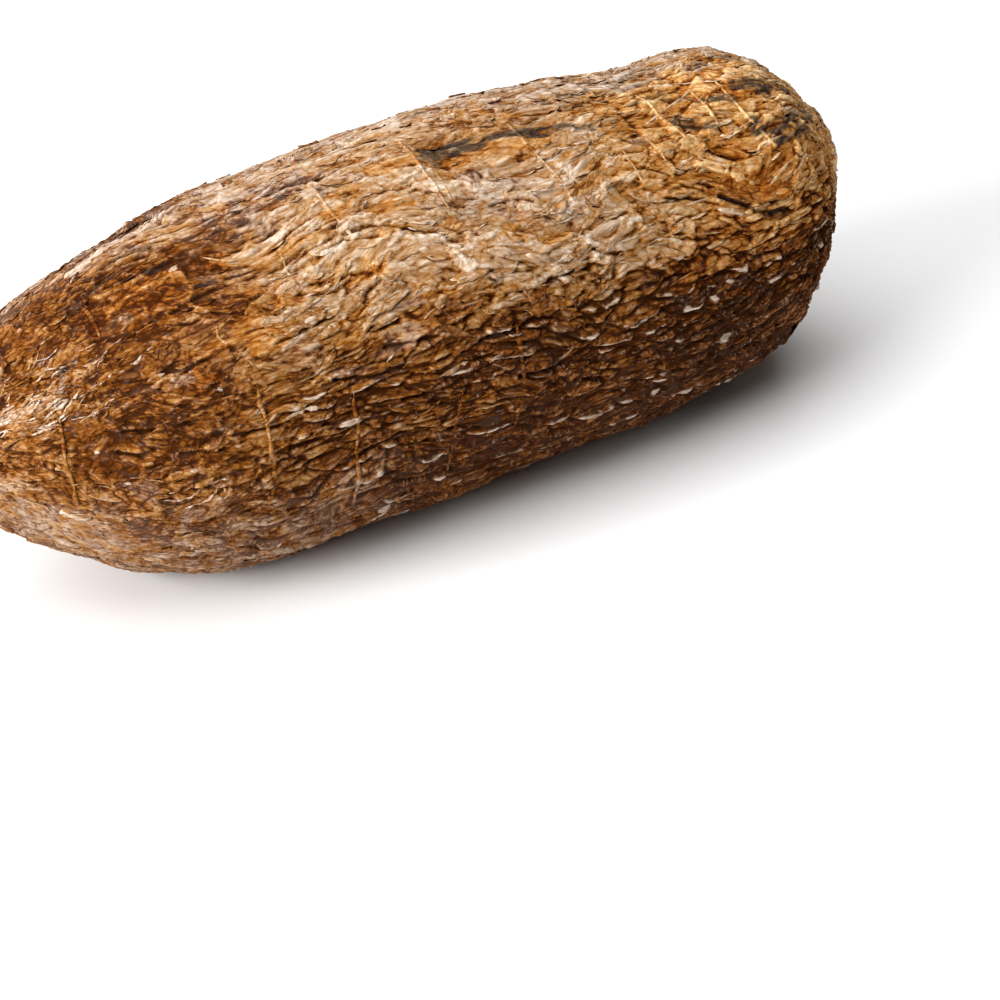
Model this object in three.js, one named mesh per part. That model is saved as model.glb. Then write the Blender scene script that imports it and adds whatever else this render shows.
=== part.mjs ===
// A whole cassava root: a blunt, slightly bowed spindle grown as one piece.
// Millimetres. +X runs along the root from the tail to the stem end, +Z is up.
// The origin is at the middle of the underside, on the surface the root lies on.
import * as THREE from 'three';
import { mergeVertices } from 'three/addons/utils/BufferGeometryUtils.js';

// ---- driving dimensions ----------------------------------------------------
const ROOT_LENGTH = 246;            // the spindle before its two ends are trimmed
const RINGS = 60;                   // stations from end to end, closer at the ends
const SIDES = 54;                   // facets round the root

// Half-diameter of the spindle at even steps from tail to stem end. Each is
// multiplied by the half-ellipse that closes the spindle at both ends.
const GIRTH = [37.6, 43.3, 46.7, 45.4, 43.4, 43.4, 43.7, 46.2, 50.1, 57.2, 50.3];
// How high the middle line runs above the resting surface, and how far it bows
// sideways, at even steps from tail to stem end.
const MIDDLE_HEIGHT = [46.55, 38.95, 40.65, 41.25, 40.05, 46.65];
const MIDDLE_BOW = [0.95, 0.05, 0.05, -0.45, -0.9, 1.2];

// The section isn't round: broad, shallow lobes wander round the root.
// [lobes round the section, share of the radius, start angle, turn along the root]
const LOBES = [
  [2, 0.0159, 0.6, 1.5],
  [3, 0.0121, 1.9, -2.2],
  [4, 0.0068, 0.4, 2.6],
  [5, 0.0045, 4.0, 3.0],
];

const STEM_SCAR_DEPTH = 2.0;        // how much of the dome the stem scar takes off
const TAIL_STUB_LENGTH = 3.0;       // the broken rootlet that ends the tail
const TAIL_STUB_INNER = 2.8;        // radius of its blunt face
const TAIL_STUB_OUTER = 6.0;        // radius where it has spread into the root
const SHIFT = [-2.5, 0.3324, 0];          // brings the middle of the underside to the origin

// ---- the surface -----------------------------------------------------------
// A smooth curve through evenly spaced values (uniform Catmull-Rom).
function along(values, u) {
  const n = values.length - 1;
  const t = Math.min(Math.max(u, 0), 1) * n;
  const i = Math.min(Math.floor(t), n - 1);
  const f = t - i;
  const at = (k) => (k < 0 ? 2 * values[0] - values[1] : k > n ? 2 * values[n] - values[n - 1] : values[k]);
  const a = at(i - 1), b = at(i), c = at(i + 1), d = at(i + 2);
  return 0.5 * (2 * b + (c - a) * f + (2 * a - 5 * b + 4 * c - d) * f * f + (3 * b - a - 3 * c + d) * f ** 3);
}

function smooth(lo, hi, v) {
  const t = Math.min(Math.max((v - lo) / (hi - lo), 0), 1);
  return t * t * (3 - 2 * t);
}

// Half-ellipse that closes both ends: a profile on the axis at each end.
const profile = [];
for (let k = 0; k <= RINGS; k++) {
  const t = (Math.PI * k) / RINGS;
  const closed = k === 0 || k === RINGS ? 0 : Math.sin(t);
  profile.push(new THREE.Vector2(closed, -Math.cos(t)));
}
const lathe = new THREE.LatheGeometry(profile, SIDES);
lathe.deleteAttribute('normal');
lathe.deleteAttribute('uv');
const skin = mergeVertices(lathe, 1e-5);

const place = skin.getAttribute('position');
for (let k = 0; k < place.count; k++) {
  const share = Math.hypot(place.getX(k), place.getZ(k));      // 0 on the axis, 1 at full girth
  const turn = Math.atan2(place.getX(k), place.getZ(k));       // angle round the root
  const u = (place.getY(k) + 1) / 2;                           // 0 at the tail, 1 at the stem end
  let lobe = 1;
  for (const [n, size, start, twist] of LOBES) lobe += size * Math.cos(n * turn + start + twist * u);
  const r = along(GIRTH, u) * share * lobe;
  const dy = r * Math.cos(turn), dz = r * Math.sin(turn);
  let x = (u - 0.5) * ROOT_LENGTH;
  if (u < 0.1) x -= TAIL_STUB_LENGTH * (1 - smooth(TAIL_STUB_INNER, TAIL_STUB_OUTER, Math.hypot(dy, dz)));
  x = Math.min(x, ROOT_LENGTH / 2 - STEM_SCAR_DEPTH);          // flat scar where the stem was cut away
  const y = along(MIDDLE_BOW, u) + dy;
  const z = Math.max(along(MIDDLE_HEIGHT, u) + dz, 0);         // flat where the root rests
  place.setXYZ(k, x - SHIFT[0], y - SHIFT[1], z - SHIFT[2]);
}

// Triangles that shrank to nothing where the profile meets the axis are left out.
const kept = [];
const index = skin.getIndex();
for (let k = 0; k < index.count; k += 3) {
  const a = index.getX(k), b = index.getX(k + 1), c = index.getX(k + 2);
  if (a !== b && b !== c && a !== c) kept.push(a, b, c);
}
skin.setIndex(kept);
skin.computeVertexNormals();

const bark = new THREE.MeshStandardMaterial({ color: 0x9c6a3c, roughness: 0.85, metalness: 0 });
const root = new THREE.Mesh(skin, bark);
root.name = 'cassava_root';

const part = new THREE.Group();
part.name = 'cassava';
part.add(root);

export default part;
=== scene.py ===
"""A whole cassava root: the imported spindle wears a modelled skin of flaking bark."""

import math

import bpy
import numpy as np
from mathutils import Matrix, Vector


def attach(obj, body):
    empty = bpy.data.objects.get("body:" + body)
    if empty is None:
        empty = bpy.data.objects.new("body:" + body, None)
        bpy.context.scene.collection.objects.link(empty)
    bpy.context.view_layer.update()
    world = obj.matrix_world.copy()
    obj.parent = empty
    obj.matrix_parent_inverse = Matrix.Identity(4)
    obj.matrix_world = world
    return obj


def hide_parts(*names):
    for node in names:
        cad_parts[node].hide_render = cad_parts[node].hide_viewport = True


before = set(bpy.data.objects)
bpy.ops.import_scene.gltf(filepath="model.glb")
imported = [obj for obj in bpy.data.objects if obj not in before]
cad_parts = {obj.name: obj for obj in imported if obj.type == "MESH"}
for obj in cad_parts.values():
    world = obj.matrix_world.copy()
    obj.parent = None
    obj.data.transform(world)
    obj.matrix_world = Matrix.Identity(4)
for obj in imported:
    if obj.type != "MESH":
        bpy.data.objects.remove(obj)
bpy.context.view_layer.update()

# ---------------------------------------------------------------------------
# The spindle under the bark: the same surface as the CAD part, in millimetres
# ---------------------------------------------------------------------------
LENGTH = 246.0
GIRTH = [37.6, 43.3, 46.7, 45.4, 43.4, 43.4, 43.7, 46.2, 50.1, 57.2, 50.3]
MIDDLE_HEIGHT = [46.55, 38.95, 40.65, 41.25, 40.05, 46.65]
MIDDLE_BOW = [0.95, 0.05, 0.05, -0.45, -0.9, 1.2]
LOBES = [
    (2, 0.0159, 0.6, 1.5),
    (3, 0.0121, 1.9, -2.2),
    (4, 0.0068, 0.4, 2.6),
    (5, 0.0045, 4.0, 3.0),
]
SHIFT = (-2.5, 0.3324)
SCAR_X = LENGTH / 2 - 2.0
STUB = (3.0, 2.8, 6.0)


def along(values, u):
    """A smooth curve through evenly spaced values, as in the CAD part."""
    v = np.asarray(values, float)
    n = len(v) - 1
    e = np.concatenate([[2 * v[0] - v[1]], v, [2 * v[-1] - v[-2]]])
    t = np.clip(u, 0, 1) * n
    i = np.minimum(t.astype(int), n - 1)
    f = t - i
    a, b, c, d = e[i], e[i + 1], e[i + 2], e[i + 3]
    return 0.5 * (
        2 * b
        + (c - a) * f
        + (2 * a - 5 * b + 4 * c - d) * f**2
        + (3 * b - a - 3 * c + d) * f**3
    )


def smooth(lo, hi, v):
    t = np.clip((v - lo) / (hi - lo), 0, 1)
    return t * t * (3 - 2 * t)


def spindle(t, th):
    """The CAD surface at t (0 tail, pi stem end) and the angle th round the root."""
    u = (1 - np.cos(t)) / 2
    lobe = 1 + sum(a * np.cos(k * th + p + w * u) for k, a, p, w in LOBES)
    r = along(GIRTH, u) * np.sin(t) * lobe
    dy, dz = r * np.cos(th), r * np.sin(th)
    x = (u - 0.5) * LENGTH + 0 * th
    x = x - np.where(
        u < 0.1, STUB[0] * (1 - smooth(STUB[1], STUB[2], np.hypot(dy, dz))), 0
    )
    x = np.minimum(x, SCAR_X)
    return np.stack(
        [
            x - SHIFT[0],
            along(MIDDLE_BOW, u) + dy - SHIFT[1],
            along(MIDDLE_HEIGHT, u) + dz,
        ],
        -1,
    )


# Length along the skin from the tail, for the mean outline.
_t = np.linspace(0, math.pi, 4001)
_u = (1 - np.cos(_t)) / 2
_r = along(GIRTH, _u) * np.sin(_t)
_s = np.concatenate([[0], np.cumsum(np.hypot(np.diff(_u) * LENGTH, np.diff(_r)))])
SKIN_LENGTH = float(_s[-1])


# ---------------------------------------------------------------------------
# Noise
# ---------------------------------------------------------------------------
class Noise:
    """Gradient noise in space with a spread of about 1."""

    def __init__(self, seed):
        rng = np.random.default_rng(seed)
        p = rng.permutation(256).astype(np.int32)
        self.p = np.concatenate([p, p, p])
        g = rng.normal(size=(256, 3))
        self.g = (g / np.linalg.norm(g, axis=1, keepdims=True)).astype(np.float32)

    def __call__(self, x, y, z):
        xf, yf, zf = np.floor(x), np.floor(y), np.floor(z)
        xi, yi, zi = (v.astype(np.int32) & 255 for v in (xf, yf, zf))
        x, y, z = (x - xf), (y - yf), (z - zf)
        wx, wy, wz = (v * v * v * (v * (v * 6 - 15) + 10) for v in (x, y, z))
        p, g = self.p, self.g
        out = 0
        for i in (0, 1):
            a = p[xi + i]
            fx = wx if i else 1 - wx
            for j in (0, 1):
                b = p[a + yi + j]
                fy = wy if j else 1 - wy
                for k in (0, 1):
                    h = g[p[b + zi + k] & 255]
                    fz = wz if k else 1 - wz
                    d = (
                        h[..., 0] * (x - i) + h[..., 1] * (y - j) + h[..., 2] * (z - k)
                    )
                    out = out + d * (fx * fy * fz)
        return out * 3.6


def fbm(seed, x, y, z, octaves=3, gain=0.5, step=2.1):
    out, amp, total = 0, 1.0, 0.0
    for o in range(octaves):
        k = step**o
        out = out + amp * Noise(seed + o)(x * k, y * k, z * k)
        total += amp * amp
        amp *= gain
    return out / total**0.5


def cells(seed, x, y, z):
    """Scattered points in space. Gives the gap between the two nearest, the way
    from the nearest, and four numbers that belong to it."""
    rng = np.random.default_rng(seed)
    p = rng.permutation(256).astype(np.int32)
    p = np.concatenate([p, p])
    jit = (0.08 + 0.84 * rng.random((256, 3))).astype(np.float32)
    own = rng.random((256, 4)).astype(np.float32)
    xf, yf, zf = np.floor(x), np.floor(y), np.floor(z)
    xi, yi, zi = (v.astype(np.int32) for v in (xf, yf, zf))
    x, y, z = (x - xf), (y - yf), (z - zf)
    near = np.full(x.shape, 9.0, np.float32)
    nxt = near.copy()
    who = np.zeros(x.shape, np.int32)
    ox, oy, oz = (np.zeros(x.shape, np.float32) for _ in range(3))
    for i in (-1, 0, 1):
        a = p[(xi + i) & 255]
        for j in (-1, 0, 1):
            b = p[a + ((yi + j) & 255)]
            for k in (-1, 0, 1):
                c = p[b + ((zi + k) & 255)]
                dx = x - i - jit[c, 0]
                dy = y - j - jit[c, 1]
                dz = z - k - jit[c, 2]
                d = dx * dx + dy * dy + dz * dz
                up = d < near
                nxt = np.where(up, near, np.minimum(nxt, d))
                near = np.where(up, d, near)
                who = np.where(up, c, who)
                ox, oy, oz = (
                    np.where(up, dx, ox),
                    np.where(up, dy, oy),
                    np.where(up, dz, oz),
                )
    return np.sqrt(nxt) - np.sqrt(near), (ox, oy, oz), own[who]


# ---------------------------------------------------------------------------
# The grid of the skin
# ---------------------------------------------------------------------------
STRIPS = 4
NS = 500
NW = 784  # a multiple of STRIPS
s_row = np.linspace(0.45, SKIN_LENGTH - 0.45, NS).astype(np.float32)
t_row = np.interp(s_row, _s, _t)
th_col = (np.arange(NW) * 2 * math.pi / NW).astype(np.float32)
S, TH = np.meshgrid(s_row, th_col, indexing="ij")
DEG = np.degrees(TH)
T = np.repeat(t_row[:, None], NW, 1)
r_row = np.interp(t_row, _t, _r).astype(np.float32)
DS = float(s_row[1] - s_row[0])
DW = (2 * math.pi * r_row / NW)[:, None]  # mm from column to column


def slopes(h):
    """Slope of a field on the grid, per mm along and round the root."""
    return np.gradient(h, DS, axis=0), (np.roll(h, -1, 1) - np.roll(h, 1, 1)) / (2 * DW)


def blur(h, along_mm, round_mm):
    """A soft blur of a field on the grid, by two box passes."""
    n = max(1, int(round(along_mm / DS)))
    m = max(1, int(round(round_mm / float(np.median(DW)))))
    h = h.astype(np.float64)
    for _ in range(2):
        pad = np.concatenate([np.repeat(h[:1], n, 0), h, np.repeat(h[-1:], n, 0)])
        c = np.cumsum(np.concatenate([np.zeros_like(pad[:1]), pad]), 0)
        h = (c[2 * n + 1 :] - c[: -2 * n - 1]) / (2 * n + 1)
        pad = np.concatenate([h[:, -m:], h, h[:, :m]], 1)
        c = np.cumsum(np.concatenate([np.zeros_like(pad[:, :1]), pad], 1), 1)
        h = (c[:, 2 * m + 1 :] - c[:, : -2 * m - 1]) / (2 * m + 1)
    return h.astype(np.float32)


# Places for the noise: a cylinder that narrows only a little at the ends, so
# that the furrows run together there without becoming threads.
RN = 43.0 * np.clip(r_row / 43.0, 0.02, None)[:, None] ** 0.75
SIN, COS = np.sin(TH), np.cos(TH)
X0, Y0, Z0 = S, RN * COS, RN * SIN



def angle_to(deg):
    """Signed degrees round the root from a place."""
    return (DEG - deg + 180) % 360 - 180


# The grain leans one way or the other from place to place: s, angle, half
# length, half width, degrees.
LEANS = [
    (34, 138, 16, 14, -18),
    (52, 128, 12, 8, -9),
    (57, 84, 12, 8, -8),
    (91, 94, 9, 6, 17),
    (80, 108, 10, 6, 13),
    (101, 100, 9, 7, -9),
    (104, 124, 14, 8, -15),
    (130, 120, 12, 7, 14),
    (152, 134, 18, 10, 12),
    (140, 168, 34, 14, 12),
    (103, 176, 14, 9, 20),
    (126, 186, 14, 10, 20),
    (148, 178, 14, 10, 20),
    (172, 180, 20, 14, 14),
    (116, 202, 20, 10, 16),
    (60, 188, 18, 12, -10),
    (50, 216, 14, 12, -14),
    (205, 148, 20, 14, 16),
    (210, 112, 16, 8, 13),
    (226, 100, 12, 9, 22),
    (226, 136, 10, 8, -12),
    (70, 20, 26, 14, 10),
    (120, 340, 26, 16, -9),
    (190, 20, 26, 16, 11),
    (160, 280, 30, 16, 8),
]
drift = np.zeros_like(S)
for s_, d_, hs_, hw_, v in LEANS:
    drift = drift - 0.62 * math.tan(math.radians(v)) * (S - s_) * np.exp(
        -(((S - s_) / (1.5 * hs_)) ** 2)
        - (np.radians(angle_to(d_)) * r_row[:, None] / (1.3 * hw_)) ** 2
    )

# Slow wander of the grain, then a quick wave of its own.
wander = drift + 0.9 * fbm(21, X0 / 32, Y0 / 22, Z0 / 22, 2)
wander = wander + 0.30 * Noise(41)(X0 / 7.0, Y0 / 5.0, Z0 / 5.0)
wave = 0.10 * Noise(42)(X0 / 2.6, Y0 / 2.2, Z0 / 2.2)
X = X0 + 2.0 * fbm(11, X0 / 20, Y0 / 9, Z0 / 9, 2)
turn = wander / RN
PLACE = np.stack([X, RN * np.cos(TH + turn), RN * np.sin(TH + turn)], -1)
PLACE = (PLACE * 0.001).astype(np.float32)
LEAN = -np.degrees(np.arctan(np.gradient(wander, DS, axis=0)))
X = X + 0.1 * Noise(44)(X0 / 2.6, Y0 / 1.8, Z0 / 1.8)
turn = (wander + wave) / RN
Y, Z = RN * np.cos(TH + turn), RN * np.sin(TH + turn)
del wander, wave, drift


def spot(s, deg, half_s, half_w, edge=0.3, rough=0.35):
    """A patch with a ragged outline: 1 inside, 0 outside."""
    r = np.hypot((S - s) / half_s, np.radians(angle_to(deg)) * r_row[:, None] / half_w)
    return smooth(1 + edge, 1 - edge, r + rough * RAGGED)


def line(points):
    """Distance in mm from a line through places (s, angle) on the skin, and the
    signed distance across it, + toward larger angles. Far away both are 99."""
    d = np.full_like(S, 99.0)
    across = np.full_like(S, 99.0)
    for (s0, d0), (s1, d1) in zip(points[:-1], points[1:]):
        i0 = max(0, int((min(s0, s1) - 8) / DS))
        i1 = min(NS, int((max(s0, s1) + 8) / DS) + 2)
        r = float(np.interp((s0 + s1) / 2, s_row, r_row))
        vs, vw = s1 - s0, math.radians(d1 - d0) * r
        size = math.hypot(vs, vw)
        ps = S[i0:i1] - s0
        pw = np.radians((DEG[i0:i1] - d0 + 180) % 360 - 180) * r
        t = np.clip((ps * vs + pw * vw) / size**2, 0, 1)
        here = np.hypot(ps - t * vs, pw - t * vw)
        cross = (vs * pw - vw * ps) / size
        closer = here < d[i0:i1]
        across[i0:i1] = np.where(closer, np.sign(cross) * here, across[i0:i1])
        d[i0:i1] = np.where(closer, here, d[i0:i1])
    return d, across


def band(lo, hi, v, soft):
    return smooth(lo - soft, lo + soft, v) * (1 - smooth(hi - soft, hi + soft, v))


RAGGED = fbm(51, X / 9, Y / 3.2, Z / 3.2, 3)
BROAD = fbm(52, X / 34, Y / 15, Z / 15, 2)

# Zones. "plain": the outer sheet lies flat and whole. "stringy": bark drawn out
# into ridges. "blocky": short plates near the stem end.
plain = smooth(0.55, 1.25, fbm(61, X / 26, Y / 11, Z / 11, 2))
for s_, d_, hs_, hw_ in [
    (66, 106, 20, 9),
    (82, 122, 11, 6),
    (89, 138, 9, 5),
    (125, 108, 14, 9),
    (56, 132, 10, 5),
    (157, 110, 12, 4),
    (186, 128, 12, 7),
    (230, 118, 10, 9),
    (216, 106, 10, 5),
    (203, 150, 9, 8),
    (214, 140, 9, 5),
    (40, 152, 9, 5),
    (98, 250, 20, 12),
    (60, 330, 22, 13),
    (170, 345, 26, 12),
    (225, 40, 18, 12),
    (190, 290, 22, 10),
]:
    plain = np.maximum(plain, 0.95 * spot(s_, d_, hs_, hw_))
blocky = smooth(170, 192, S) * (1 - smooth(262, 274, S))
stringy = smooth(-0.7, 0.6, fbm(71, X / 30, Y / 14, Z / 14, 2)) * (1 - 0.9 * plain)
stringy *= 1 - 0.65 * blocky
upside = band(56, 148, DEG + 5 * RAGGED, 8)  # the crest, where scales lie flat
stringy *= 1 - 0.80 * upside

height = 0.42 * fbm(81, X0 / 38, Y0 / 20, Z0 / 20, 2) + 0.2 * fbm(
    91, X / 15, Y / 5.5, Z / 5.5, 2
)
height = height.astype(np.float32)
push_s = np.zeros_like(S)
push_w = np.zeros_like(S)
# rim_all marks lifted rims, later painted paler, partly as highlight; gap marks cracks and the low bark at the
# foot of cliffs, later painted darker as shade
rim_all = np.zeros_like(S)
gap = np.zeros_like(S)
flake_tone = np.zeros_like(S)


def flake_layer(seed, long, wide, rise, tilt, curl, crack, where, tone, lip=0.0, joint=0.0):
    """Short scales side by side, each at its own height and slant."""
    global height, push_s, push_w, rim_all, gap, flake_tone
    apart, (ox, oy, oz), own = cells(seed, X / long, Y / wide, Z / wide)
    e = apart * 0.5 * wide
    dw = (-SIN * oy + COS * oz) / 0.5
    ds = ox / 0.5
    on = smooth(-0.02, 0.22, e)
    slant = (own[..., 1] * 2 - 1) * np.clip(dw, -1, 1) + 0.55 * (
        own[..., 2] * 2 - 1
    ) * np.clip(ds, -1, 1)
    rim = np.exp(-e / 0.30)
    lifted = (own[..., 3] > 0.45) * rim * smooth(-0.3, 0.5, slant)
    h = rise * (own[..., 0] * 2 - 1) + tilt * slant + curl * lifted
    cracked = crack * (0.35 + 0.65 * own[..., 2])
    height = height + where * ((h + cracked) * on - cracked)
    gap = np.maximum(gap, where * (1 - on) * (0.4 + 0.6 * own[..., 2]))
    rim_all = np.maximum(rim_all, where * lifted * on)
    flake_tone = flake_tone + where * (tone * (own[..., 0] * 2 - 1) - joint * np.exp(-((e / 0.5) ** 2)))
    if lip:
        gs, gw = slopes(e)
        g = np.hypot(gs, gw) + 0.2
        push_s = push_s - where * lip * lifted * on * gs / g
        push_w = push_w - where * lip * lifted * on * gw / g


def sheet(n, step, curl, reach, lip=0.0, crisp=0.16, where=1.0):
    """One torn layer of bark. It lies where n is over 0, ends in a cliff, and
    its rim curls up and leans out over the gap."""
    global height, push_s, push_w, rim_all, gap
    gs, gw = slopes(n)
    g = np.hypot(gs, gw)
    g = np.maximum(g, 0.3 * np.median(g))
    d = n / g
    on = smooth(-crisp, crisp, d)
    rim = np.exp(-np.maximum(d, 0) / reach) * on
    height = height + where * (step * on + curl * rim)
    push_s = push_s - where * lip * rim * gs / g
    push_w = push_w - where * lip * rim * gw / g
    rim_all = np.maximum(rim_all, where * rim * 0.8)
    gap = np.maximum(gap, where * (1 - on) * np.exp(np.minimum(d, 0) / 0.45))
    return on


# Low down the bark is worn to fine low ridges; between the two it stands out most.
low = band(196, 340, DEG + 6 * RAGGED, 12)
calm = 1 - 0.68 * low
combed = np.maximum(spot(99, 112, 12, 8, 0.4), 0.8 * spot(112, 86, 26, 5, 0.5))
combed = np.maximum(combed, spot(68, 90, 26, 8, 0.5))
plain = np.maximum(plain, 0.8 * combed)

# Large torn sheets, then plates, scales and slivers.
upper = sheet(
    fbm(101, X / 20, Y / 6.0, Z / 6.0, 3, 0.5) + 0.1, 0.30, 0.10, 0.7, 0.15,
    where=1 - 0.5 * plain,
)
flake_layer(201, 15.0, 5.5, 0.20, 0.14, 0.10, 0.14, 0.35 + 0.65 * plain, 0.26, 0.12, 0.3)
flake_layer(203, 8.0, 4.4, 0.42, 0.26, 0.10, 0.46, blocky, 0.42, 0.1, 0.55)
# Two more thin sheets on the crest, each torn back to the one below.
flat_sheets = (upside * (1 - 0.55 * combed)).astype(np.float32)
for seed, a_, b_, over, step_ in [(102, 15.0, 6.4, 0.10, 0.24), (103, 9.0, 3.8, 0.05, 0.18)]:
    on_ = sheet(
        fbm(seed, X / a_, Y / b_, Z / b_, 2, 0.35) + over, step_, 0.08, 0.40, 0.10,
        crisp=0.12, where=flat_sheets,
    )
    flake_tone = flake_tone + 0.22 * flat_sheets * (2 * on_ - 1)
busy = (1 - 0.80 * plain) * (1 - 0.7 * combed)
sides = band(150, 232, DEG + 5 * RAGGED, 8) * smooth(52, 90, S)
sides = np.maximum(sides, band(-48, 40, (DEG + 120) % 360 - 120 + 5 * RAGGED, 10) * smooth(40, 80, S) * 0.8)
sides = sides * (1 - smooth(244, 262, S))
flake_layer(211, 6.2, 2.2, 0.28, 0.20, 0.16, 0.14, busy * (1 - 0.7 * blocky) * calm * (1 - 0.74 * upside) * (1 - 0.8 * sides), 0.40, 0.16)
flake_layer(221, 2.6, 1.35, 0.17, 0.16, 0.08, 0.10, (0.35 + 0.65 * busy) * (1 - 0.45 * blocky) * calm * (1 - 0.35 * upside) * (1 - 0.6 * sides), 0.44)

# Scales on the flanks: lens-shaped, with a thick pale lip along the lower edge.
apart, (ox, oy, oz), own = cells(231, X / 9.5, Y / 3.5, Z / 3.5)
e = apart * 0.5 * 3.5
dw = (-SIN * oy + COS * oz) / 0.5
on = smooth(0.0, 0.30, e)
lip_ = np.exp(-(((e - 0.42) / 0.34) ** 2)) * smooth(0.05, 0.5, dw) * smooth(0.25, 0.5, own[..., 3])
lip_ = lip_ * smooth(-0.9, 0.1, Noise(232)(X / 3.0, Y / 3.0, Z / 3.0))
cracked = 0.34 + 0.3 * own[..., 2]
height = height + sides * (
    (0.20 * (own[..., 0] * 2 - 1) + 0.14 * np.clip(dw, -1, 1) + 0.42 * lip_ + cracked) * on - cracked
)
gap = np.maximum(gap, sides * (1 - on))
flake_tone = flake_tone + 0.30 * sides * (own[..., 0] * 2 - 1)
LIPS = sides * lip_ * on * smooth(150, 160, DEG + 3 * RAGGED)
LIPS_PALE = LIPS * smooth(0.28, 0.55, own[..., 1])

# Ridges that part and join again round lens-shaped hollows.
n = fbm(301, X / 9.0, Y / 2.6, Z / 2.6, 2, 0.45)
ridge = 1 - smooth(0.0, 0.42, np.abs(n))
height = height + stringy * calm * 0.30 * ridge
n2 = fbm(311, X / 5.0, Y / 1.7, Z / 1.7, 1)
ridge2 = 1 - smooth(0.0, 0.4, np.abs(n2))
height = height + stringy * calm * 0.15 * ridge2
height = height + low * 0.10 * ridge2

# On the flanks, long ridges with narrow slots between them.
n3 = fbm(331, X / 22.0, Y / 3.1, Z / 3.1, 2, 0.5)
slot = smooth(0.30, 0.0, np.abs(n3))
height = height + sides * (0.14 - 0.42 * slot)
gap = np.maximum(gap, sides * smooth(0.5, 1.0, slot) * 0.8)

# Combed: straight ridges side by side.
comb = np.abs(Noise(321)(X / 20.0, Y / 1.0, Z / 1.0))
height = height + (1.2 * combed + 0.3 * blocky) * (0.17 - 0.42 * comb)

coarse = np.abs(Noise(322)(X / 26.0, Y / 2.4, Z / 2.4))
flake_tone = flake_tone * (1 - 0.6 * combed) + combed * (0.80 * (0.75 - comb) + 0.40 * (0.75 - coarse))

# Fibre and grain.
height = height - 0.10 * np.abs(Noise(141)(X / 7.0, Y / 1.15, Z / 1.15))
height = height + 0.05 * Noise(142)(X / 2.2, Y / 1.3, Z / 1.3)

# Pitted patch.
pitted = spot(125, 107, 13, 9)
height = height - 0.22 * pitted * smooth(0.5, 1.3, Noise(151)(X / 1.6, Y / 1.3, Z / 1.3))
d, across = line([(111, 120), (116, 120.5), (120, 123), (125, 126.5), (131, 129.5), (137, 132)])
height = height + 0.55 * np.exp(-((d / 1.0) ** 2)) * np.abs(np.sin(S * 1.05 + RAGGED))
height = height - 0.5 * np.exp(-(((across + 1.7) / 0.5) ** 2))

# At the top near the tail a layer is gone: the pale bark below lies lower, and
# the layer starts again at a ragged cliff.
cliff = S - 81.5 - 1.3 * RAGGED - 0.06 * (DEG - 70)
torn_off = band(46, 79, DEG + 4 * RAGGED, 4)
height = height - 1.15 * torn_off * smooth(-24, -5, cliff) * (1 - smooth(-0.5, 0.5, cliff))
height = height + 0.40 * torn_off * smooth(-0.5, 0.5, cliff) * (1 - smooth(2, 13, cliff))
# the foot of the cliff is painted darker here, as shade, through gap
gap = np.maximum(gap, 0.7 * torn_off * np.exp(-(((cliff + 0.5) / 0.5) ** 2)))

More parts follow.
